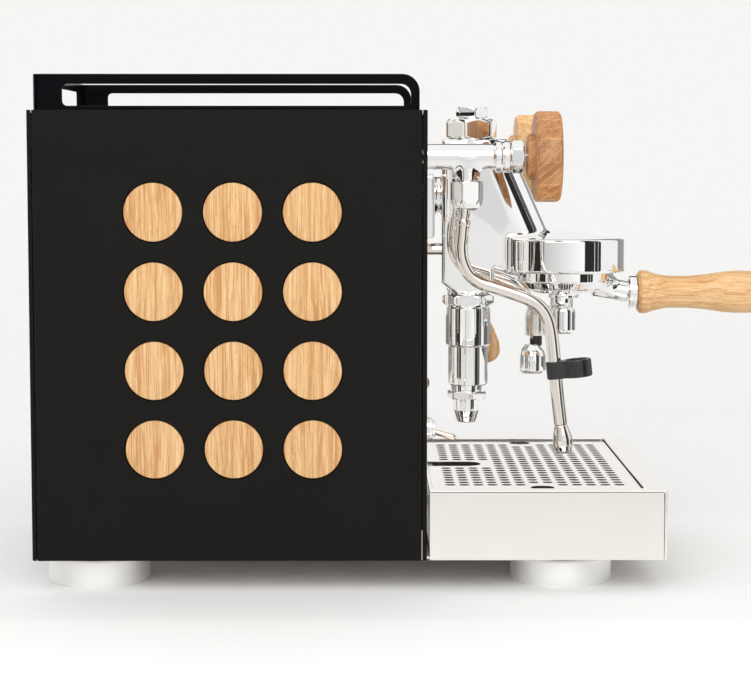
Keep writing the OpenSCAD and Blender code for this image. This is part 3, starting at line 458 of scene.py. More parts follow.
def tube(path, sides=32, per=6):
    """A closed tube through [x, d, z, radius] points that share their x, with per rings from
    point to point."""
    p = np.array(path, float)
    ends = np.vstack([2 * p[0] - p[1], p, 2 * p[-1] - p[-2]])
    t = np.arange(per)[:, None] / per
    line = [(2 * b + (c - a) * t + (2 * a - 5 * b + 4 * c - e) * t * t
             + (3 * b - a - 3 * c + e) * t ** 3) / 2
            for a, b, c, e in zip(ends, ends[1:], ends[2:], ends[3:])]
    line = np.vstack(line + [p[-1:]])
    centre = row_point(line[:, 0], line[:, 1], line[:, 2])
    tangent = np.gradient(centre, axis=0)
    tangent /= np.linalg.norm(tangent, axis=1)[:, None]
    side = np.array([1.0, 0.0, 0.0])
    other = np.cross(tangent, side)[:, None]
    angle = 2 * math.pi * np.arange(sides)[:, None] / sides
    ring = np.cos(angle) * side + np.sin(angle) * other
    verts = (centre[:, None] + line[:, 3, None, None] * ring).reshape(-1, 3)
    m = len(centre)
    faces = [(i * sides + j, i * sides + (j + 1) % sides, (i + 1) * sides + (j + 1) % sides,
              (i + 1) * sides + j) for i in range(m - 1) for j in range(sides)]
    faces += [tuple(range(sides - 1, -1, -1)), tuple((m - 1) * sides + j for j in range(sides))]
    return verts, faces


def rounded(x0, x1, y0, y1, radii, n=8):
    """A rectangle as a closed loop of points, with one radius or one for each corner from the
    upper right one anticlockwise."""
    if isinstance(radii, (int, float)):
        radii = (radii,) * 4
    out = []
    for k, (r, x, y) in enumerate(zip(radii, (x1, x0, x0, x1), (y1, y1, y0, y0))):
        cx, cy = x + (-r if x == x1 else r), y + (-r if y == y1 else r)
        angles = [math.radians(90 * k + 90 * i / n) for i in range(n + 1)]
        out += [(cx + r * math.cos(a), cy + r * math.sin(a)) for a in angles[:n + 1 if r else 1]]
    return out


def circle(r, cx, cy, n):
    return [(cx + r * math.cos(2 * math.pi * i / n), cy + r * math.sin(2 * math.pi * i / n))
            for i in range(n)]


def plate(loops, thick, bevel=0.3, steps=2):
    """A flat plate in local XY, from Z 0 to thick, with bevelled edges. Loops after the first
    that lie inside it are holes."""
    curve = bpy.data.curves.new("outline", "CURVE")
    curve.dimensions = "2D"
    curve.fill_mode = "BOTH"
    curve.extrude = thick / 2 - bevel
    curve.bevel_depth = bevel
    curve.bevel_resolution = steps
    curve.offset = -bevel
    for loop in loops:
        spline = curve.splines.new("POLY")
        spline.points.add(len(loop) - 1)
        spline.points.foreach_set("co", [c for q in loop for c in (q[0], q[1], 0.0, 1.0)])
        spline.use_cyclic_u = True
    obj = bpy.data.objects.new("outline", curve)
    bpy.context.scene.collection.objects.link(obj)
    bpy.context.view_layer.update()
    mesh = bpy.data.meshes.new_from_object(obj.evaluated_get(
        bpy.context.evaluated_depsgraph_get()))
    bpy.data.objects.remove(obj)
    verts = np.empty(len(mesh.vertices) * 3)
    mesh.vertices.foreach_get("co", verts)
    verts = verts.reshape(-1, 3) + np.array([0, 0, thick / 2])
    faces = [tuple(p.vertices) for p in mesh.polygons]
    bpy.data.meshes.remove(mesh)
    return verts, faces


# ---------------------------------------------------------------- cast shapes
# A body is the signed distance to its surface, in mm and negative inside, at [x, d, z] points p
def corner(a, b):
    """The distance to what two bodies share, from the distance to each."""
    return np.minimum(np.maximum(a, b), 0) + np.hypot(np.maximum(a, 0), np.maximum(b, 0))


def outline_distance(u, v, points):
    """Signed distance in a plane to a closed outline."""
    q = np.stack([u, v], -1)
    pts = np.array(points, float)
    best = np.full(len(q), 1e9)
    sign = np.ones(len(q))
    for a, b in zip(pts, np.roll(pts, 1, 0)):
        e, w = b - a, q - a
        t = np.clip((w @ e) / (e @ e), 0, 1)
        best = np.minimum(best, ((w - t[:, None] * e) ** 2).sum(1))
        c1, c2 = q[:, 1] >= a[1], q[:, 1] < b[1]
        c3 = e[0] * w[:, 1] > e[1] * w[:, 0]
        flip = (c1 & c2 & c3) | (~c1 & ~c2 & ~c3)
        sign = np.where(flip, -sign, sign)
    return sign * np.sqrt(best)


def rod(p, a, b, r, r2=None, e=0.5):
    """A round bar from a to b, each [x, d, z], with its rims rounded by e."""
    a, b = np.array(a, float), np.array(b, float)
    length = np.linalg.norm(b - a)
    u = (b - a) / length
    q = p - a
    h = q @ u
    slope = ((r if r2 is None else r2) - r) / length
    out = np.sqrt(np.maximum((q ** 2).sum(1) - h * h, 0))
    out = (out - (r + slope * np.clip(h, 0, length))) / math.sqrt(1 + slope * slope)
    return corner(out + e, np.abs(h - length / 2) - length / 2 + e) - e


def brick(p, centre, half, e):
    """A box of the given half sizes, with its edges rounded by e."""
    q = np.abs(p - np.array(centre)) - np.array(half) + e
    return np.minimum(q.max(1), 0) + np.linalg.norm(np.maximum(q, 0), axis=1) - e


def spun(p, d, profile, e=0.5):
    """A body turned about an upright axis at x 0, from [radius, z] points."""
    pts = [(r if r > 0 else -30.0, z) for r, z in profile]
    return outline_distance(np.hypot(p[:, 0], p[:, 1] - d), p[:, 2], pts) - e


def join(a, b, k):
    """Both bodies, blended over k."""
    h = np.clip(0.5 + 0.5 * (b - a) / k, 0, 1)
    return b * (1 - h) + a * h - k * h * (1 - h)


def minus(a, b, k=0.6):
    """The first body without the second, its new edge eased over k."""
    return -join(-a, b, k)


def surface(f, lo, hi, step):
    """The surface where f is 0, as vertices, faces and normals."""
    lo, hi = np.array(lo, float), np.array(hi, float)
    n = np.ceil((hi - lo) / step).astype(int) + 1
    axes = [lo[i] + step * np.arange(n[i]) for i in range(3)]
    grid = np.stack(np.meshgrid(*axes, indexing="ij"), -1).reshape(-1, 3)
    g = np.concatenate([f(c) for c in np.array_split(grid, 1 + len(grid) // 100000)]).reshape(n)
    inside = g < 0
    ends = [(i, j, k) for i in (0, 1) for j in (0, 1) for k in (0, 1)]

    def at(a, c):
        return a[c[0]:n[0] - 1 + c[0], c[1]:n[1] - 1 + c[1], c[2]:n[2] - 1 + c[2]]

    count = sum(at(inside, c).astype(int) for c in ends)
    mixed = (count > 0) & (count < 8)
    number = np.full(mixed.shape, -1)
    number[mixed] = np.arange(mixed.sum())
    # A vertex in each cell that the surface crosses, at the mean of where it crosses the edges
    total, hits = np.zeros((mixed.sum(), 3)), np.zeros(mixed.sum())
    for c in ends:
        for axis in range(3):
            if c[axis]:
                continue
            unit = np.eye(3)[axis]
            other = tuple(int(v) for v in np.array(c) + unit)
            ga, gb = at(g, c)[mixed], at(g, other)[mixed]
            cross = (ga < 0) != (gb < 0)
            t = np.where(cross, ga / np.where(cross, ga - gb, 1), 0)
            total += cross[:, None] * (np.array(c) + t[:, None] * unit)
            hits += cross
    verts = lo + step * (np.argwhere(mixed) + total / hits[:, None])

    def slope(v):
        h = 0.05
        return np.stack([(f(v + h * u) - f(v - h * u)) / (2 * h) for u in np.eye(3)], -1)

    # Each vertex moves along the slope onto the surface
    for _ in range(3):
        s = slope(verts)
        move = (f(verts) / np.maximum((s ** 2).sum(1), 0.2))[:, None] * s
        size = np.linalg.norm(move, axis=1)[:, None]
        verts = verts - move * np.minimum(1, 0.5 * step / np.maximum(size, 1e-9))
    # A face round each grid edge that the surface crosses
    faces = []
    for axis in range(3):
        order = (axis, (axis + 1) % 3, (axis + 2) % 3)
        a, cells = inside.transpose(order), number.transpose(order)
        low, high = a[:-1], a[1:]
        i, j, k = np.nonzero((low != high)[:, 1:-1, 1:-1])
        j, k = j + 1, k + 1
        quad = np.stack([cells[i, j - 1, k - 1], cells[i, j, k - 1], cells[i, j, k],
                         cells[i, j - 1, k]], -1)
        back = ~low[i, j, k]
        quad[back] = quad[back][:, ::-1]
        faces.append(quad)
    faces = np.concatenate(faces)[:, ::-1]
    s = slope(verts)
    s /= np.maximum(np.linalg.norm(s, axis=1), 1e-9)[:, None]
    normals = s * np.array([1, -1, 1])
    return row_point(verts[:, 0], verts[:, 1], verts[:, 2]), faces, normals


def cast(name, f, lo, hi, step, slot, body="case"):
    """A piece whose surface is where the signed distance f is 0, in a box from lo to hi."""
    verts, faces, normals = surface(f, lo, hi, step)
    piece(name, verts, faces, slot, body, normals=normals)


# ---------------------------------------------------------------- case
CASE_W, CASE_D, FOOT_H, CASE_TOP = 137.0, 264.0, 21.0, 321.0


def side_panel(name, side):
    """A folded sheet: one flat face with twelve holes, and both upright edges bent inwards."""
    holes = [circle(20.2, DISC_D + DISC_PITCH * i, DISC_Z + DISC_PITCH * k, 72)
             for i in range(3) for k in range(4)]
    v, f = plate([rounded(3.5, CASE_D - 3.5, FOOT_H, CASE_TOP, 0.8)] + holes, 1.0, 0.25)
    parts = [(row_point(CASE_W - 1 + v[:, 2], v[:, 0], v[:, 1]), f)]
    for near, far, flange in ((3.0, 0.0, 9.0), (CASE_D - 3, CASE_D, 3.0)):
        way = 1 if far > near else -1
        bend = [math.radians(90 * i / 8) for i in range(1, 9)]
        line = [(CASE_W - 0.5, near)]
        line += [(CASE_W - 3 + 2.5 * math.cos(a), near + way * 2.5 * math.sin(a)) for a in bend]
        line.append((CASE_W - 3 - flange, far - way * 0.5))
        parts.append(strip(line, FOOT_H, CASE_TOP, 1.0))
    verts, faces = merge(parts)
    piece(name, verts * np.array([side, 1, 1]), faces, "black_paint", sharp=30)


def strip(line, z0, z1, thick):
    """A bent upright sheet along [x, d] points, from z0 to z1, with eased ends."""
    p = np.array(line, float)
    t = np.gradient(p, axis=0)
    t /= np.linalg.norm(t, axis=1)[:, None]
    n = np.stack([-t[:, 1], t[:, 0]], 1) * thick / 2
    ease = 0.25
    thin = 1 - 2 * ease / thick
    verts = []
    for z, grow in ((z0, thin), (z0 + ease, 1.0), (z1 - ease, 1.0), (z1, thin)):
        for s in (1, -1):
            q = p + s * n * grow
            verts.append(row_point(q[:, 0], q[:, 1], np.full(len(q), z)))
    m = len(p)
    # Each ring is an outer line of m points and then an inner one
    faces = []
    for a, b in [(k * m, (k + 2) * m) for k in range(6)] + [(0, m), (6 * m, 7 * m)]:
        faces += [(a + i, a + i + 1, b + i + 1, b + i) for i in range(m - 1)]
    for k in (0, 2, 4):
        faces += [(k * m + i, (k + 1) * m + i, (k + 3) * m + i, (k + 2) * m + i)
                  for i in (0, m - 1)]
    return np.concatenate(verts), faces


side_panel("SidePanelLeft", -1)
side_panel("SidePanelRight", 1)

DISC_BACK = 131.4
DISC = [(0, 0), (19.5, 0), (19.5, 5), (0, 5)]
discs = []
for side in (-1, 1):
    for i in range(3):
        for k in range(4):
            v, f = placed(turned(DISC, radius=0.7, n=72), DISC_BACK, DISC_D + DISC_PITCH * i,
                          DISC_Z + DISC_PITCH * k, "x")
            discs.append((v * np.array([side, 1, 1]), f))
piece("WoodDiscs", *merge(discs), "oak_light")

FOOT = [(0, 0), (33.4, 0), (33.4, 1.2, 0.1), (33.9, 1.6, 0.1), (34.7, 2.4), (34.7, 17.4),
        (33.9, 18.6), (24, 19.2), (23.4, 21), (0, 21)]
feet = [placed(turned(FOOT, radius=0.6, n=128), x, d, 0) for x in (-91, 91) for d in (39.5, 357.5)]
piece("Feet", *merge(feet), "aluminium")


def cup_rail():
    """A band of sheet bent round the rear corners, with a long slot in each of its three sides."""
    x, rear, front, z0, z1, bend = 128.3, 4.1, 258.8, 319.4, 344.7, 5.0
    thick, cuts = 2.0, 10
    flat = front - rear - bend
    arc = bend * math.pi / 2
    back = 2 * (x - bend)
    total = 2 * flat + 2 * arc + back
    slot0, slot1 = 323.8, 338.1
    outer = rounded(0, total, z0, z1, (11.5, 11.5, 0, 0))
    slots = [rounded(5.8, front - 22.9, slot0, slot1, (3.3, 6.7, 3.3, 3.3), 6),
             rounded(total - front + 22.9, total - 5.8, slot0, slot1, (6.7, 3.3, 3.3, 3.3), 6),
             rounded(total / 2 - 92, total / 2 + 92, slot0, slot1, 3.3)]
    verts, faces = plate([outer] + slots, thick, 0.45, 3)
    mesh = bpy.data.meshes.new("flat")
    mesh.from_pydata(verts.tolist(), [], faces)
    bm = bmesh.new()
    bm.from_mesh(mesh)
    for start in (flat, flat + arc + back):
        for i in range(cuts + 1):
            bmesh.ops.bisect_plane(bm, geom=bm.verts[:] + bm.edges[:] + bm.faces[:], dist=1e-5,
                                   plane_co=(start + arc * i / cuts, 0, 0), plane_no=(1, 0, 0))
    bm.to_mesh(mesh)
    bm.free()
    v = np.array([q.co for q in mesh.vertices], float)
    faces = [tuple(q.vertices) for q in mesh.polygons]
    bpy.data.meshes.remove(mesh)
    # The band's middle line and its outward normal, at distances along the band
    along, middle, outward = [0], [(-x, front)], [(-1, 0)]
    for start, cx, first in ((flat, bend - x, 180), (flat + arc + back, x - bend, 270)):
        for i in range(cuts + 1):
            a = math.radians(first + 90 * i / cuts)
            along.append(start + arc * i / cuts)
            middle.append((cx + bend * math.cos(a), rear + bend + bend * math.sin(a)))
            outward.append((math.cos(a), math.sin(a)))
    along.append(total)
    middle.append((x, front))
    outward.append((1, 0))
    px, pd = (np.interp(v[:, 0], along, c) for c in zip(*middle))
    nx, nd = (np.interp(v[:, 0], along, c) for c in zip(*outward))
    t = v[:, 2] - thick / 2
    return row_point(px + nx * t, pd + nd * t, v[:, 1]), faces


piece("CupRail", *cup_rail(), "gloss_black", "cup_shelf", sharp=40)

slots = [rounded(26 * i - 2.5, 26 * i + 2.5, -68 - 38 * k, -42 - 38 * k, 2.49)
         for i in range(-4, 5) for k in range(5)]
shelf = plate([rounded(-129.3, 129.3, -258.8, -3.1, 4)] + slots, 1.2, 0.3)
piece("CupShelf", *placed(shelf, 0, 0, 319.2), "gloss_black", "cup_shelf", ("cup_tray",))

# ---------------------------------------------------------------- drip tray
TRAY_REAR, TRAY_FRONT, RIM = 265.8, 424.8, 67.8


def upright(x0, x1, d0, d1, z0, z1, e):
    """A sheet standing on edge, its edges eased by e."""
    if x1 - x0 < d1 - d0:
        v, f = plate([rounded(d0, d1, z0, z1, e, 4)], x1 - x0, e * 0.8)
        return row_point(x0 + v[:, 2], v[:, 0], v[:, 1]), f
    v, f = plate([rounded(x0, x1, z0, z1, e, 4)], d1 - d0, e * 0.8)
    return row_point(v[:, 0], d0 + v[:, 2], v[:, 1]), f


rim = placed(plate([rounded(-135.7, 135.7, -TRAY_FRONT, -TRAY_REAR, 0.6),
                    rounded(-124, 124, -410.8, -268, 2.5)], 1.4, 0.3, 3), 0, 0, RIM - 1.4)
ledge = placed(plate([rounded(-124.6, 124.6, -411.4, -267.6, 2),
                      rounded(-116, 116, -404.8, -272, 6)], 1.0, 0.2), 0, 0, 64.0)
shell = [rim,
         upright(-135.7, -134.5, TRAY_REAR, 422.8, FOOT_H, RIM - 0.4, 0.4),
         upright(134.5, 135.7, TRAY_REAR, 422.8, FOOT_H, RIM - 0.4, 0.4),
         upright(-135.7, 135.7, 423.1, TRAY_FRONT, FOOT_H, RIM - 0.4, 0.55),
         upright(-134.4, 134.4, TRAY_REAR, 268.1, 29.0, RIM - 0.4, 0.4)]
piece("DripTray", *merge(shell), "stainless", "tray")
basin = [ledge]
for x, d0, d1, near, far, z0, z1 in ((124, 268, 410.8, 267.1, 410.8, 64.1, RIM - 0.5),
                                     (116, 271.5, 405, 271.1, 404.8, 29.4, 64.2)):
    basin += [upright(-x - 0.9, -x, d0, d1, z0, z1, 0.2), upright(x, x + 0.9, d0, d1, z0, z1, 0.2),
              upright(-x, x, far, far + 0.9, z0, z1, 0.2),
              upright(-x, x, near, near + 0.9, z0, z1, 0.2)]
basin.append(placed(plate([rounded(-116.9, 116.9, -405.6, -271.2, 4)], 1.2, 0.2), 0, 0, 28.8))
piece("TrayBasin", *merge(basin), "stainless", "tray", ("drip_tray",))

FIRST_ROW, PITCH_D, PITCH_X = TRAY_REAR + 15.2, 9.66, 10.92
holes = [circle(3.5, PITCH_X * k, -(FIRST_ROW + PITCH_D * i), 20) for i in range(13)
         for k in range(-9, 10)
         if not (abs(k) == 9 and i in (6, 7)) and not (abs(k) < 2 and i < 4)]
holes += [circle(8.0, s * 110, -(FIRST_ROW + 6.45 * PITCH_D), 40) for s in (-1, 1)]
outer = [(-11, -268.3), (-123.6, -268.3), (-123.6, -410.1), (123.6, -410.1), (123.6, -268.3),
         (11, -268.3)]
outer += [(11 * math.cos(math.radians(a)), -296 + 11 * math.sin(math.radians(a)))
          for a in range(0, -181, -12)]
piece("DripGrate", *placed(plate([outer] + holes, 1.2, 0.25), 0, 0, 65.0), "stainless", "grate")

# ---------------------------------------------------------------- group
GROUP, BELL, CAM_Z = 297.5, 366.5, 207
# The casting's flat-sided outline as d and z, two points on the sloping front of its arm, and
# the bevel of its rear corners: its slope, and how much deeper it is cut above the flange
CAST_REAR = 277.7
BEVEL_ACROSS, BEVEL_BACK, BEVEL_DEEPER = 0.927, 0.375, 1.76
CASTING = [(CAST_REAR, 302.2), (350, 302.2), (376, 239), (364, 222), (352, 206), (331, 204.3),
           (315.5, 209), (315.5, 199.5), (307, 191.2), (288.5, 191.2), (CAST_REAR, 199.2)]
RIDGE = (327.6, 297.0, 352.9, 240.0)


def group_shape(p):
    x, d, z = p.T
    d0, z0, d1, z1 = RIDGE
    slope = ((d - d0) * (z0 - z1) + (z - z0) * (d1 - d0)) / math.hypot(d1 - d0, z1 - z0)
    side = np.abs(x) - 16.5
    arm = corner(outline_distance(d, z, CASTING) + 3.2, side + 3.2) - 3.2
    arm = np.maximum(arm, corner(slope / 1.4 + 16.0, side + 16.0) - 16.0)
    bevel = side * BEVEL_ACROSS + (CAST_REAR - d) * BEVEL_BACK
    bevel = bevel + BEVEL_DEEPER * np.clip((z - 240) / 7, 0, 1)
    arm = minus(arm, -bevel, 1.0)
    arm = np.minimum(arm, rod(p, (0, GROUP + 1.9, 298), (0, GROUP + 1.9, 303), 16.5, e=0.6))
    bell = spun(p, BELL, [(0, 238.6), (42, 229.6), (42, 209), (0, 209)], 2.0)
    body = join(arm, bell, 4.0)
    body = join(body, rod(p, (0, GROUP, 190), (0, GROUP, 200), 15.6, e=0.4), 1.5)
    flange = brick(p, (0, 267.6, 254.5), (30, 4.6, 22.5), 2.0)
    neck = rod(p, (0, 268, 262), (0, 292, 262), 13, e=0.5)
    body = join(body, join(flange, neck, 4.0), 2.0)
    body = join(body, rod(p, (0, GROUP, CAM_Z), (25, GROUP, CAM_Z), 14, e=1.2), 2.5)
    room = spun(p, BELL, [(0, 200), (36, 200), (36, 208.5), (41, 208.5), (41, 214.5), (36, 214.5),
                          (36, 221.5), (0, 221.5)], 0.5)
    body = minus(body, room, 0.5)
    return minus(body, rod(p, (3, GROUP, CAM_Z), (30, GROUP, CAM_Z), 10.5, e=0.2), 0.5)


cast("GroupBody", group_shape, (-46, 260, 186), (46, 414, 306), 1.15, "chrome")

CAP = [(0, 0), (17.2, 0), (19.4, 1.4), (19.4, 11.2), (17, 13.6), (0, 13.6)]
piece("GroupCap", *placed(turned(CAP, 6, 38.4, 44), 0, GROUP + 1.9, 303), "chrome")
CAP_NUT = [(0, 0), (9, 0), (9, 1.6), (10.8, 1.6), (12.3, 2.8), (12.3, 7.2), (10.6, 9.0), (0, 9.4)]
piece("GroupCapNut", *placed(turned(CAP_NUT, 6, 24.4, 8), 0, GROUP + 2.2, 316), "chrome")
CAM_NUT = [(0, 0), (13.4, 0), (15.2, 1.4), (15.2, 7.6), (13.4, 9), (0, 9)]
piece("CamNut", *placed(turned(CAM_NUT, 6, 30, 0), 25, GROUP, CAM_Z, "x"), "chrome")
HEX_COLLAR = [(0, 183), (17.6, 183), (19.2, 184.4), (19.2, 188.6), (17.6, 190), (0, 190)]
CHAMBER = [(0, 124.5), (13.6, 124.5), (14.3, 125.4), (14.3, 152.6), (14.9, 153.5), (15.8, 153.5),
           (16.2, 154.4), (16.2, 180.6), (15.4, 181.6), (15.4, 183.5), (0, 183.5)]
piece("LowerChamber", *merge([placed(turned(HEX_COLLAR, 6, 38, 24), 0, GROUP, 0),
                              placed(turned(CHAMBER, n=128), 0, GROUP, 0)]), "chrome")
DRAIN_HEX = [(0, 114.6), (13.2, 114.6), (14.6, 115.6), (14.6, 119.4), (13.2, 120.4), (0, 120.4)]
DRAIN = [(0, 104), (3.9, 104), (3.9, 97.4, 0.1), (6.2, 97.3), (6.8, 97.9), (9.4, 106),
         (9.4, 115.8), (11, 120.4), (11, 124.6), (0, 124.6)]
piece("DrainNozzle", *merge([placed(turned(DRAIN_HEX, 6, 29, 13), 0, GROUP - 0.8, 0),
                             placed(turned(DRAIN), 0, GROUP - 1.0, 0)]), "chrome")

# ---------------------------------------------------------------- lever
TILT, SPLAY = math.radians(-14), math.radians(-16)
LEVER = Matrix.Rotation(SPLAY, 3, "Y") @ Matrix.Rotation(TILT, 3, "X")


def on_lever(part):
    return placed(part, 41, GROUP, CAM_Z, turn=LEVER)


ARM_ROD = [(0, -38.5), (4, -38.5), (4, -4), (0, -4)]
GRIP = [(0, -76), (6.5, -76), (10.4, -71), (11.2, -63), (9.4, -50), (7.2, -42), (6.4, -38.2),
        (0, -38.2)]
EYE = [(0, 36), (7, 36), (8, 37), (8, 45), (7, 46), (0, 46)]
piece("BrewLever", *merge([on_lever(turned(ARM_ROD, radius=0.6, n=48)),
                           placed(turned(EYE), 0, GROUP, CAM_Z, "x")]), "chrome", "lever")
piece("LeverGrip", *on_lever(turned(GRIP, radius=6, n=64)), "oak_light", "lever")

# ---------------------------------------------------------------- portafilter
HANDLE_Z = 192.0


def portafilter_shape(p):
    bowl = spun(p, BELL, [(0, 193.6), (20, 193.6), (29, 196.5), (33.2, 201), (33.2, 211.2),
                          (0, 211.2)], 1.8)
    ears = brick(p, (0, BELL, 211), (40.4, 8, 1.8), 0.8)
    neck = rod(p, (0, BELL + 24, HANDLE_Z + 6), (0, BELL + 38, HANDLE_Z + 1.6), 9.5, 7.6, 1)
    neck = np.minimum(neck, rod(p, (0, BELL + 37, HANDLE_Z + 1.8), (0, 413.2, HANDLE_Z), 7.6,
                                e=0.4))
    body = join(bowl, neck, 7.0)
    body = join(body, rod(p, (0, BELL, 187.6), (0, BELL, 196), 11, e=0.6), 2.5)
    body = np.minimum(body, ears)
    return minus(body, rod(p, (0, BELL, 195.2), (0, BELL, 220), 29.4, e=0.3), 0.4)


cast("Portafilter", portafilter_shape, (-43, 328, 185), (43, 415, 216), 0.95, "chrome",
     "portafilter_set")


def spout_shape(p):
    q = p - np.array([0, BELL - 1.2, 0])
    q[:, 0] = np.abs(q[:, 0])
    stem = rod(q, (0, 0, 174), (0, 0, 188), 8.4, e=0.6)
    bar = rod(q, (-5, 0, 176.5), (18, 0, 175.5), 6.8, e=0.6)
    leg = rod(q, (18, 0, 163.2), (18, 0, 182.4), 8.2, e=3.2)
    body = join(join(stem, bar, 4), leg, 2.5)
    body = minus(body, rod(q, (18, 0, 155), (18, 0, 172), 4.6, e=0.2), 0.6)
    return minus(body, rod(q, (0, 0, 176), (0, 0, 200), 4.2, e=0.2), 0.4)


cast("DoubleSpout", spout_shape, (-29, BELL - 12, 160), (29, BELL + 12, 191), 0.6, "chrome",
     "portafilter_set")

FERRULE = [(0, 0), (10.2, 0), (11.7, 1.0), (11.7, 6.0), (10.8, 7.0), (0, 7.0)]
piece("HandleFerrule", *placed(turned(FERRULE, radius=0.7), 0, 413, HANDLE_Z, "d"), "chrome",
      "portafilter_set")
HANDLE = [(0, 0), (13.4, 0), (15.6, 2, 1.4), (15.5, 6.5, 3), (13.4, 12.5, 6), (11.7, 21, 8),
          (11.6, 36, 14), (12.8, 50, 14), (14.6, 62, 14), (15.4, 71, 10), (15.1, 83, 12),
          (13.8, 118, 10), (11.0, 126, 5), (0, 126)]
piece("PortafilterHandle", *placed(turned(HANDLE, radius=1.2), 0, 420, HANDLE_Z, "d"),
      "oak_light", "portafilter_set")

# ---------------------------------------------------------------- valves
BRANCH = 292.0


def valve_shape(p):
    x, d, z = p.T
    pipe = rod(p, (0, 250, KNOB_Z), (0, 311.2, KNOB_Z), 8.7, e=0.2)
    pts = [(-20, 310.6), (9.0, 310.6), (10.3, 311.6), (10.3, 314.6), (9.6, 316.0), (10.3, 317.4),
           (10.3, 320.4), (9.4, 321.6), (-20, 321.6)]
    collar = outline_distance(np.hypot(x, z - KNOB_Z), d, pts) - 0.4
    branch = rod(p, (0, BRANCH, 273.9), (0, BRANCH, KNOB_Z), 8.0, e=0.4)
    rib = corner(outline_distance(d, z, [(281, 284), (303, 284), (299.5, 276.5), (284.5, 276.5)])
                 + 2, np.abs(x) - 4.5 + 2) - 2
    body = join(join(pipe, collar, 1.2), join(branch, rib, 3.0), 3.5)
    return minus(body, rod(p, (0, 300, KNOB_Z), (0, 330, KNOB_Z), 4.3, e=0.1), 0.3)


valve = surface(valve_shape, (-13, 248, 271), (13, 324, 303), 0.6)
shift = np.array([VALVE_X, 0, 0])
both = merge([(valve[0] - shift, valve[1]), (valve[0] + shift, valve[1])])
piece("ValveBodies", *both, "chrome", normals=np.concatenate([valve[2]] * 2))

GLAND = [(0, 0), (9.9, 0), (11.5, 1.0), (11.5, 7.2), (9.7, 8.5), (0, 8.5)]
gland = turned(GLAND, 6, 22.8, 30)
NUT = [(0, 0), (7, 0), (9.2, 1.7), (10.8, 4.3), (11.9, 8.3), (11.9, 18.9), (9.6, 20), (0, 20)]
nut = turned(NUT, 6, 23.6, 42, radius=1.2)
SPINDLE = [(0, 0), (4, 0), (4, 33.4), (0, 33.4)]
spindle = turned(SPINDLE, n=48)
KNOB = [(0, 0), (14.0, 0), (15.5, 1.6), (15.5, 4.8, 0.4), (28.8, 4.8), (31.4, 7.1), (31.4, 20.0),
        (28.9, 22.4), (0, 22.4)]
knob = turned(KNOB, KNOB_SIDES, 62, KNOB_PHASE, radius=1.0, crisp=400.0)
glands, nuts = [], []
for side, who, wood_name in ((-1, "steam", "oak_dark"), (1, "water", "oak_light")):
    x = side * VALVE_X
    glands.append(placed(gland, x, 322, KNOB_Z, "d"))
    nuts.append(placed(nut, x, BRANCH, 253.7))
    piece(who.title() + "Spindle", *placed(spindle, x, 304, KNOB_Z, "d"), "chrome",
          who + "_knob_set")
    piece(who.title() + "Knob", *placed(knob, x, 332.6, KNOB_Z, "d"), wood_name,
          who + "_knob_set", sharp=16)
piece("GlandNuts", *merge(glands), "chrome")
piece("WandNuts", *merge(nuts), "chrome")

# ---------------------------------------------------------------- wands
# The wands' centre lines from the valve down, as d, z and radius
DROP = [(292, 272.6, 2.5), (292, 270.5, 6), (292, 266, 7.3), (291.6, 261.8, 5.6),
        (291.2, 259, 3.9), (290.3, 252, 3.9), (289.8, 247.5, 3.9), (289.7, 246.6, 4.9),
        (289.5, 244.2, 4.9), (289.4, 243.2, 4.5), (288.8, 236, 4.5)]
BEND = [(288.2, 228, 4.5), (289.4, 219, 4.5), (293.8, 210, 4.5), (301.4, 204.3, 4.5),
        (310, 201.5, 4.5), (318, 199, 4.5), (326, 196.3, 4.5), (334, 193.3, 4.5),
        (340, 189.8, 4.5), (345, 184.5, 4.5)]
STEAM = [(348.2, 178, 4.5), (349.9, 171, 4.5), (351.2, 161, 4.5), (352.2, 151, 4.5),
         (353.4, 138, 4.5), (354.8, 124, 4.5), (356.9, 107.2, 4.5)]
WATER = [(350.2, 178, 4.5), (353.0, 170, 4.5), (353.8, 160, 4.5), (353.8, 150.1, 4.5)]
for side, who, end in ((-1, "steam", STEAM), (1, "water", WATER)):
    path = [(side * VALVE_X,) + q for q in DROP + BEND + end]
    piece(who.title() + "Wand", *tube(path), "satin_steel", who + "_wand_set")

TIP = [(0, -20), (2.6, -20), (5.2, -18.6), (6.7, -14.6), (6.8, -10.5), (6.0, -6.5), (4.9, -2.6),
       (4.5, 0), (0, 0)]
tilt = Matrix.Rotation(math.radians(-7.3), 3, "X")
piece("SteamTip", *placed(turned(TIP, radius=2.0, n=64), -VALVE_X, 356.9, 107, turn=tilt),
      "satin_steel", "steam_wand_set")


def grip_shape(p):
    a = math.radians(6)
    q = p - np.array([-VALVE_X, 353, 144.5])
    z = q[:, 2] * math.cos(a) - q[:, 1] * math.sin(a)
    d = q[:, 1] * math.cos(a) + q[:, 2] * math.sin(a)
    x = q[:, 0]
    ring, loop = np.hypot(x, d) - 6.2, np.hypot(x, d - 15) - 10
    flat = join(ring, loop, 5.0)
    flat = np.maximum(flat, -(np.hypot(x, d) - 4.75))
    flat = np.maximum(flat, -(np.hypot(x, d - 15) - 7.4))
    return corner(flat + 0.7, np.abs(z) - 6.0 + 0.7) - 0.7


cast("WandGrip", grip_shape, (-VALVE_X - 12, 344, 134), (-VALVE_X + 12, 381, 155), 0.6, "rubber",
     "steam_wand_set")

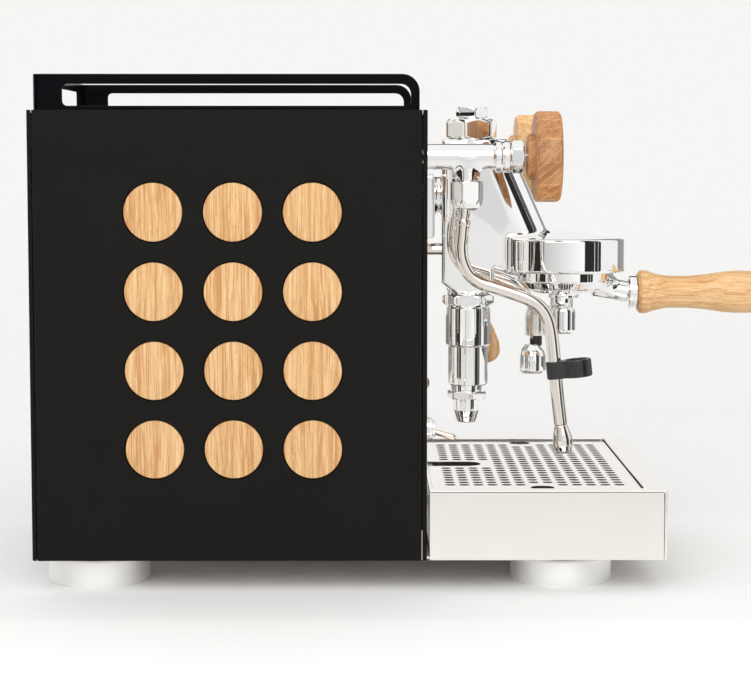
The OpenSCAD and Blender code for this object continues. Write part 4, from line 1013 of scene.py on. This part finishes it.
SLEEVE = [(0, 152.4), (4.7, 152.4), (8.0, 152.4, 0.4), (8.2, 156), (8.2, 168), (7.0, 172.5),
          (4.7, 173.5), (0, 173.5)]
NOZZLE = [(0, 137), (6.8, 137), (7.0, 123.8, 0.3), (8.6, 122.8), (10.4, 125.5), (10.4, 137, 4),
          (9.4, 141, 4), (6.4, 144.4, 3), (5.4, 145.6, 0.3), (0, 145.6)]
BAND = [(0, 144.4), (4.5, 144.4), (4.7, 145.4), (4.7, 151.6), (4.5, 152.6), (0, 152.6)]
piece("WaterSleeve", *placed(turned(SLEEVE, radius=0.8), VALVE_X, 353.8, 0), "satin_steel",
      "water_wand_set")
piece("WaterNozzle", *placed(turned(NOZZLE, radius=1.0), VALVE_X, 351.4, 0), "chrome",
      "water_wand_set")
piece("WaterBand", *placed(turned(BAND, radius=0.4, n=64), VALVE_X, 354.2, 0), "rubber",
      "water_wand_set", stands_for=())

# ---------------------------------------------------------------- controls
SWITCH_X, SWITCH_Z, LAMP_Z = -97.0, 105.0, 136.5
BEZEL = [(0, 1.2), (8.2, 1.2), (8.2, 3.9), (7.6, 4.4, 0.1), (7.6, 6.6), (5.4, 6.6, 0.1),
         (5.4, 8.4), (5.0, 8.8), (4.6, 8.2), (4.6, 0.5, 0.1), (0, 0.5)]
bezel = turned(BEZEL, radius=0.5, n=64)
ring = turned([(0, 3.9), (6.4, 3.9), (7.8, 4.6), (7.8, 6.0), (6.6, 6.7), (0, 6.7)], 6, 15.2, 15)
piece("SwitchBezel", *placed(merge([bezel, ring]), SWITCH_X, 262, SWITCH_Z, "d"), "chrome")
BAT = [(0, -1), (1.7, -1), (1.8, 8), (2.1, 16), (2.4, 20.6), (2.1, 22.2), (1.2, 22.9), (0, 22.9)]
swing = Matrix.Rotation(math.radians(90 + 17), 3, "X")
piece("SwitchLever", *placed(turned(BAT, radius=0.8, n=48), SWITCH_X, 262.6, SWITCH_Z,
                             turn=swing), "chrome", "toggle")
LAMP = [(0, 0), (3.5, 0), (3.5, 1.8), (3.0, 2.8), (1.8, 3.5), (0, 3.6)]
LAMP_RING = [(3.5, 0.2), (4.6, 0.2), (4.6, 1.6), (4.2, 2.2), (3.7, 2.2), (3.5, 1.8), (3.5, 0.2)]
piece("PilotLamp", *placed(turned(LAMP, radius=0.8, n=64), SWITCH_X, 263, LAMP_Z, "d"), "lamp")
piece("LampRing", *placed(turned(LAMP_RING, radius=0.3, n=64), SWITCH_X, 263, LAMP_Z, "d"),
      "chrome", stands_for=())

GAUGE_X, GAUGE_Z, GAUGE_D = 92.0, 137.0, 258.0
GAUGE = [(0, 0), (18.8, 0), (18.8, 5.2, 0.1), (21, 5.2), (21, 7.6), (20.2, 9.0), (18.8, 9.0),
         (18.1, 8.2), (18.1, 2.4, 0.1), (0, 2.4)]
piece("GaugeBezel", *placed(turned(GAUGE, radius=0.5), GAUGE_X, GAUGE_D, GAUGE_Z, "d"), "chrome",
      "case", ("pressure_gauge",))


def mark(r0, r1, wide, angle, thick=0.12):
    """A raised stroke on the dial, at an angle in degrees from straight up."""
    corners = [(s * wide / 2, r, t) for t in (0, thick)
               for s, r in ((-1, r0), (1, r0), (1, r1), (-1, r1))]
    a = math.radians(angle)
    verts = [(x * math.cos(a) + y * math.sin(a), y * math.cos(a) - x * math.sin(a), z)
             for x, y, z in corners]
    return np.array(verts), [(3, 2, 1, 0), (4, 5, 6, 7)] + [
        (i, (i + 1) % 4, (i + 1) % 4 + 4, i + 4) for i in range(4)]


def on_dial(part, lift):
    return placed(part, GAUGE_X, GAUGE_D + lift, GAUGE_Z, "d")


DIAL = [(0, 0), (17.9, 0), (17.9, 0.5), (0, 0.5)]
piece("GaugeDial", *on_dial(turned(DIAL, radius=0.1), 2.3), "grey_plastic", stands_for=())
marks = [mark(12.2 if i % 4 else 10.8, 15.0, 0.35 if i % 4 else 0.7, -135 + 270 * i / 32)
         for i in range(33)]
marks += [mark(15.4, 16.0, 1.2, -135 + 270 * i / 64) for i in range(65)]
piece("GaugeMarks", *on_dial(merge(marks), 2.8), "black_plastic", stands_for=(), sharp=180)
GLASS = [(0, 0), (18.05, 0), (18.05, 0.8), (0, 1.3)]
piece("GaugeGlass", *on_dial(turned(GLASS, radius=0.2), 6.6), "clear_plastic", stands_for=())

# ---------------------------------------------------------------- stage
def staged(name, verts, faces, material):
    mesh = bpy.data.meshes.new(name)
    mesh.from_pydata(verts, [], faces)
    mesh.materials.append(material)
    mesh.shade_smooth()
    obj = bpy.data.objects.new(name, mesh)
    bpy.context.scene.collection.objects.link(obj)
    return obj


def bowl():
    """A round floor that curves up into a backdrop on every side."""
    flat, rise, top = 3.0, 1.0, 1.5
    line = [(0.0, 0.0), (0.5, 0.0), (1.5, 0.0), (flat, 0.0)]
    line += [(flat + rise * math.sin(a), rise * (1 - math.cos(a)))
             for a in (math.pi / 2 * i / 24 for i in range(1, 25))]
    verts, faces = turned(line + [(flat + rise, top)], radius=0)
    m = Shader("StudioPaper", Roughness=0.9)
    paper = m.mix(m.noise(m.mm, 0.05, 3.0, 0.5), (0.92, 0.92, 0.92), (0.96, 0.96, 0.955))
    x, y, _ = m.split(m.mm)
    # The floor is painted darker within 0.4 m of the machine and lightens out to 2.6 m: painted shade
    # round the machine
    m.to(m.mix(m.remap(m.reach(x, y), 400.0, 2600.0, 0.0, 1.0), (0.86, 0.86, 0.86), paper),
         "Base Color")
    staged("Backdrop", verts.tolist(), faces, m.mat)


WARM_WHITE = (1.0, 0.995, 0.985, 1.0)
PANEL_CENTRE_Y = -0.09
bowl()
sky = bpy.data.worlds.new("Studio")
bpy.context.scene.world = sky
sky.use_nodes = True
background = sky.node_tree.nodes["Background"]
background.inputs["Color"].default_value = WARM_WHITE
background.inputs["Strength"].default_value = 0.965

key = bpy.data.lights.new("Key", "AREA")
key.shape = "RECTANGLE"
key.size, key.size_y, key.energy = 2.0, 1.2, 17.0
lamp = bpy.data.objects.new("Key", key)
bpy.context.scene.collection.objects.link(lamp)
lamp.location = (-1.6, 0.15, 1.2)
lamp.rotation_euler = (-lamp.location).to_track_quat("-Z", "Y").to_euler()


def glowing(name, verts, faces, axis, ends, levels):
    """A panel that only reflections show. Its brightness runs between two levels along an axis,
    from end to end in mm."""
    m = Shader(name, Roughness=0.9, Base_Color=(0.0, 0.0, 0.0, 1.0), Emission_Color=WARM_WHITE)
    m.to(m.remap(m.split(m.mm)[axis], *ends, *levels), "Emission Strength")
    obj = staged(name, verts, faces, m.mat)
    obj.visible_camera = obj.visible_diffuse = obj.visible_shadow = False
    obj.visible_transmission = False


def panel(name, a0, a1, z0, z1, distance, levels):
    """An upright panel curved round the group, given in metres. Its ends are at angles a0 and a1
    from the camera's side towards the front, and its brightness runs from end to end."""
    n = 12
    verts = []
    for i in range(n + 1):
        a = math.radians(a0 + (a1 - a0) * i / n)
        x, y = -distance * math.cos(a), PANEL_CENTRE_Y - distance * math.sin(a)
        verts += [(x, y, z0), (x, y, z1)]
    faces = [(2 * i, 2 * i + 2, 2 * i + 3, 2 * i + 1) for i in range(n)]
    glowing(name, verts, faces, 1, (verts[0][1] * 1000.0, verts[-1][1] * 1000.0), levels)


def card(name, verts, low, high):
    """A flat panel, in metres, whose brightness runs from its lowest to its highest X."""
    ends = min(v[0] for v in verts) * 1000, max(v[0] for v in verts) * 1000 + 1
    glowing(name, verts, [tuple(range(len(verts)))], 0, ends, (low, high))


panel("FlagFrontA", 34, 53, 0.003, 1.3, 0.62, (0.01, 0.015))
panel("FlagFrontB", 54, 60.5, 0.003, 1.3, 0.62, (0.02, 0.015))
panel("FlagFrontC", 61.2, 67, 0.003, 1.3, 0.62, (0.015, 0.02))
panel("FlagSide", 115, 150, 0.003, 1.6, 0.8, (0.28, 0.36))
panel("FlagRear", -86, -64, 0.003, 1.3, 0.62, (0.02, 0.03))
panel("Room", -62, 33, 0.003, 0.62, 1.3, (0.5, 1.04))
panel("LowSide", 85, 172, 0.003, 0.112, 0.95, (0.12, 0.22))
panel("StripRear", -108, -88, 0.1, 1.2, 1.2, (1.15, 1.15))
card("FlagFar", [(1.3, -1.5, 0.76), (1.3, 1.5, 0.76), (1.3, 1.5, 1.6), (1.3, -1.5, 1.6)],
     0.03, 0.03)
card("FloorCard", [(-1.25, -0.6, 0.002), (-0.22, -0.6, 0.002), (-0.22, 1.0, 0.002),
                   (-1.25, 1.0, 0.002)], 0.6, 0.9)
card("ArmCard", [(-1.25, (REAR - d) * 0.001, z * 0.001) for d, z in
                 ((330, 229), (361, 211), (386, 195.5), (393, 187), (400, 183), (412, 205),
                  (416, 300), (330, 300))], 0.71, 0.71)

camera = bpy.data.cameras.new("Camera")
camera.sensor_width = 36.0
camera.lens = 103.16
camera.clip_start = 0.01
view = bpy.data.objects.new("Camera", camera)
bpy.context.scene.collection.objects.link(view)
PITCH, YAW = 0.0886, 0.0054
view.location = (-1.5573, 0.0511, 0.2971)
view.rotation_euler = Vector((math.cos(PITCH) * math.cos(YAW), -math.sin(YAW) * math.cos(PITCH),
                              -math.sin(PITCH))).to_track_quat("-Z", "Y").to_euler()
bpy.context.scene.camera = view
bpy.context.scene.view_settings.view_transform = "Standard"
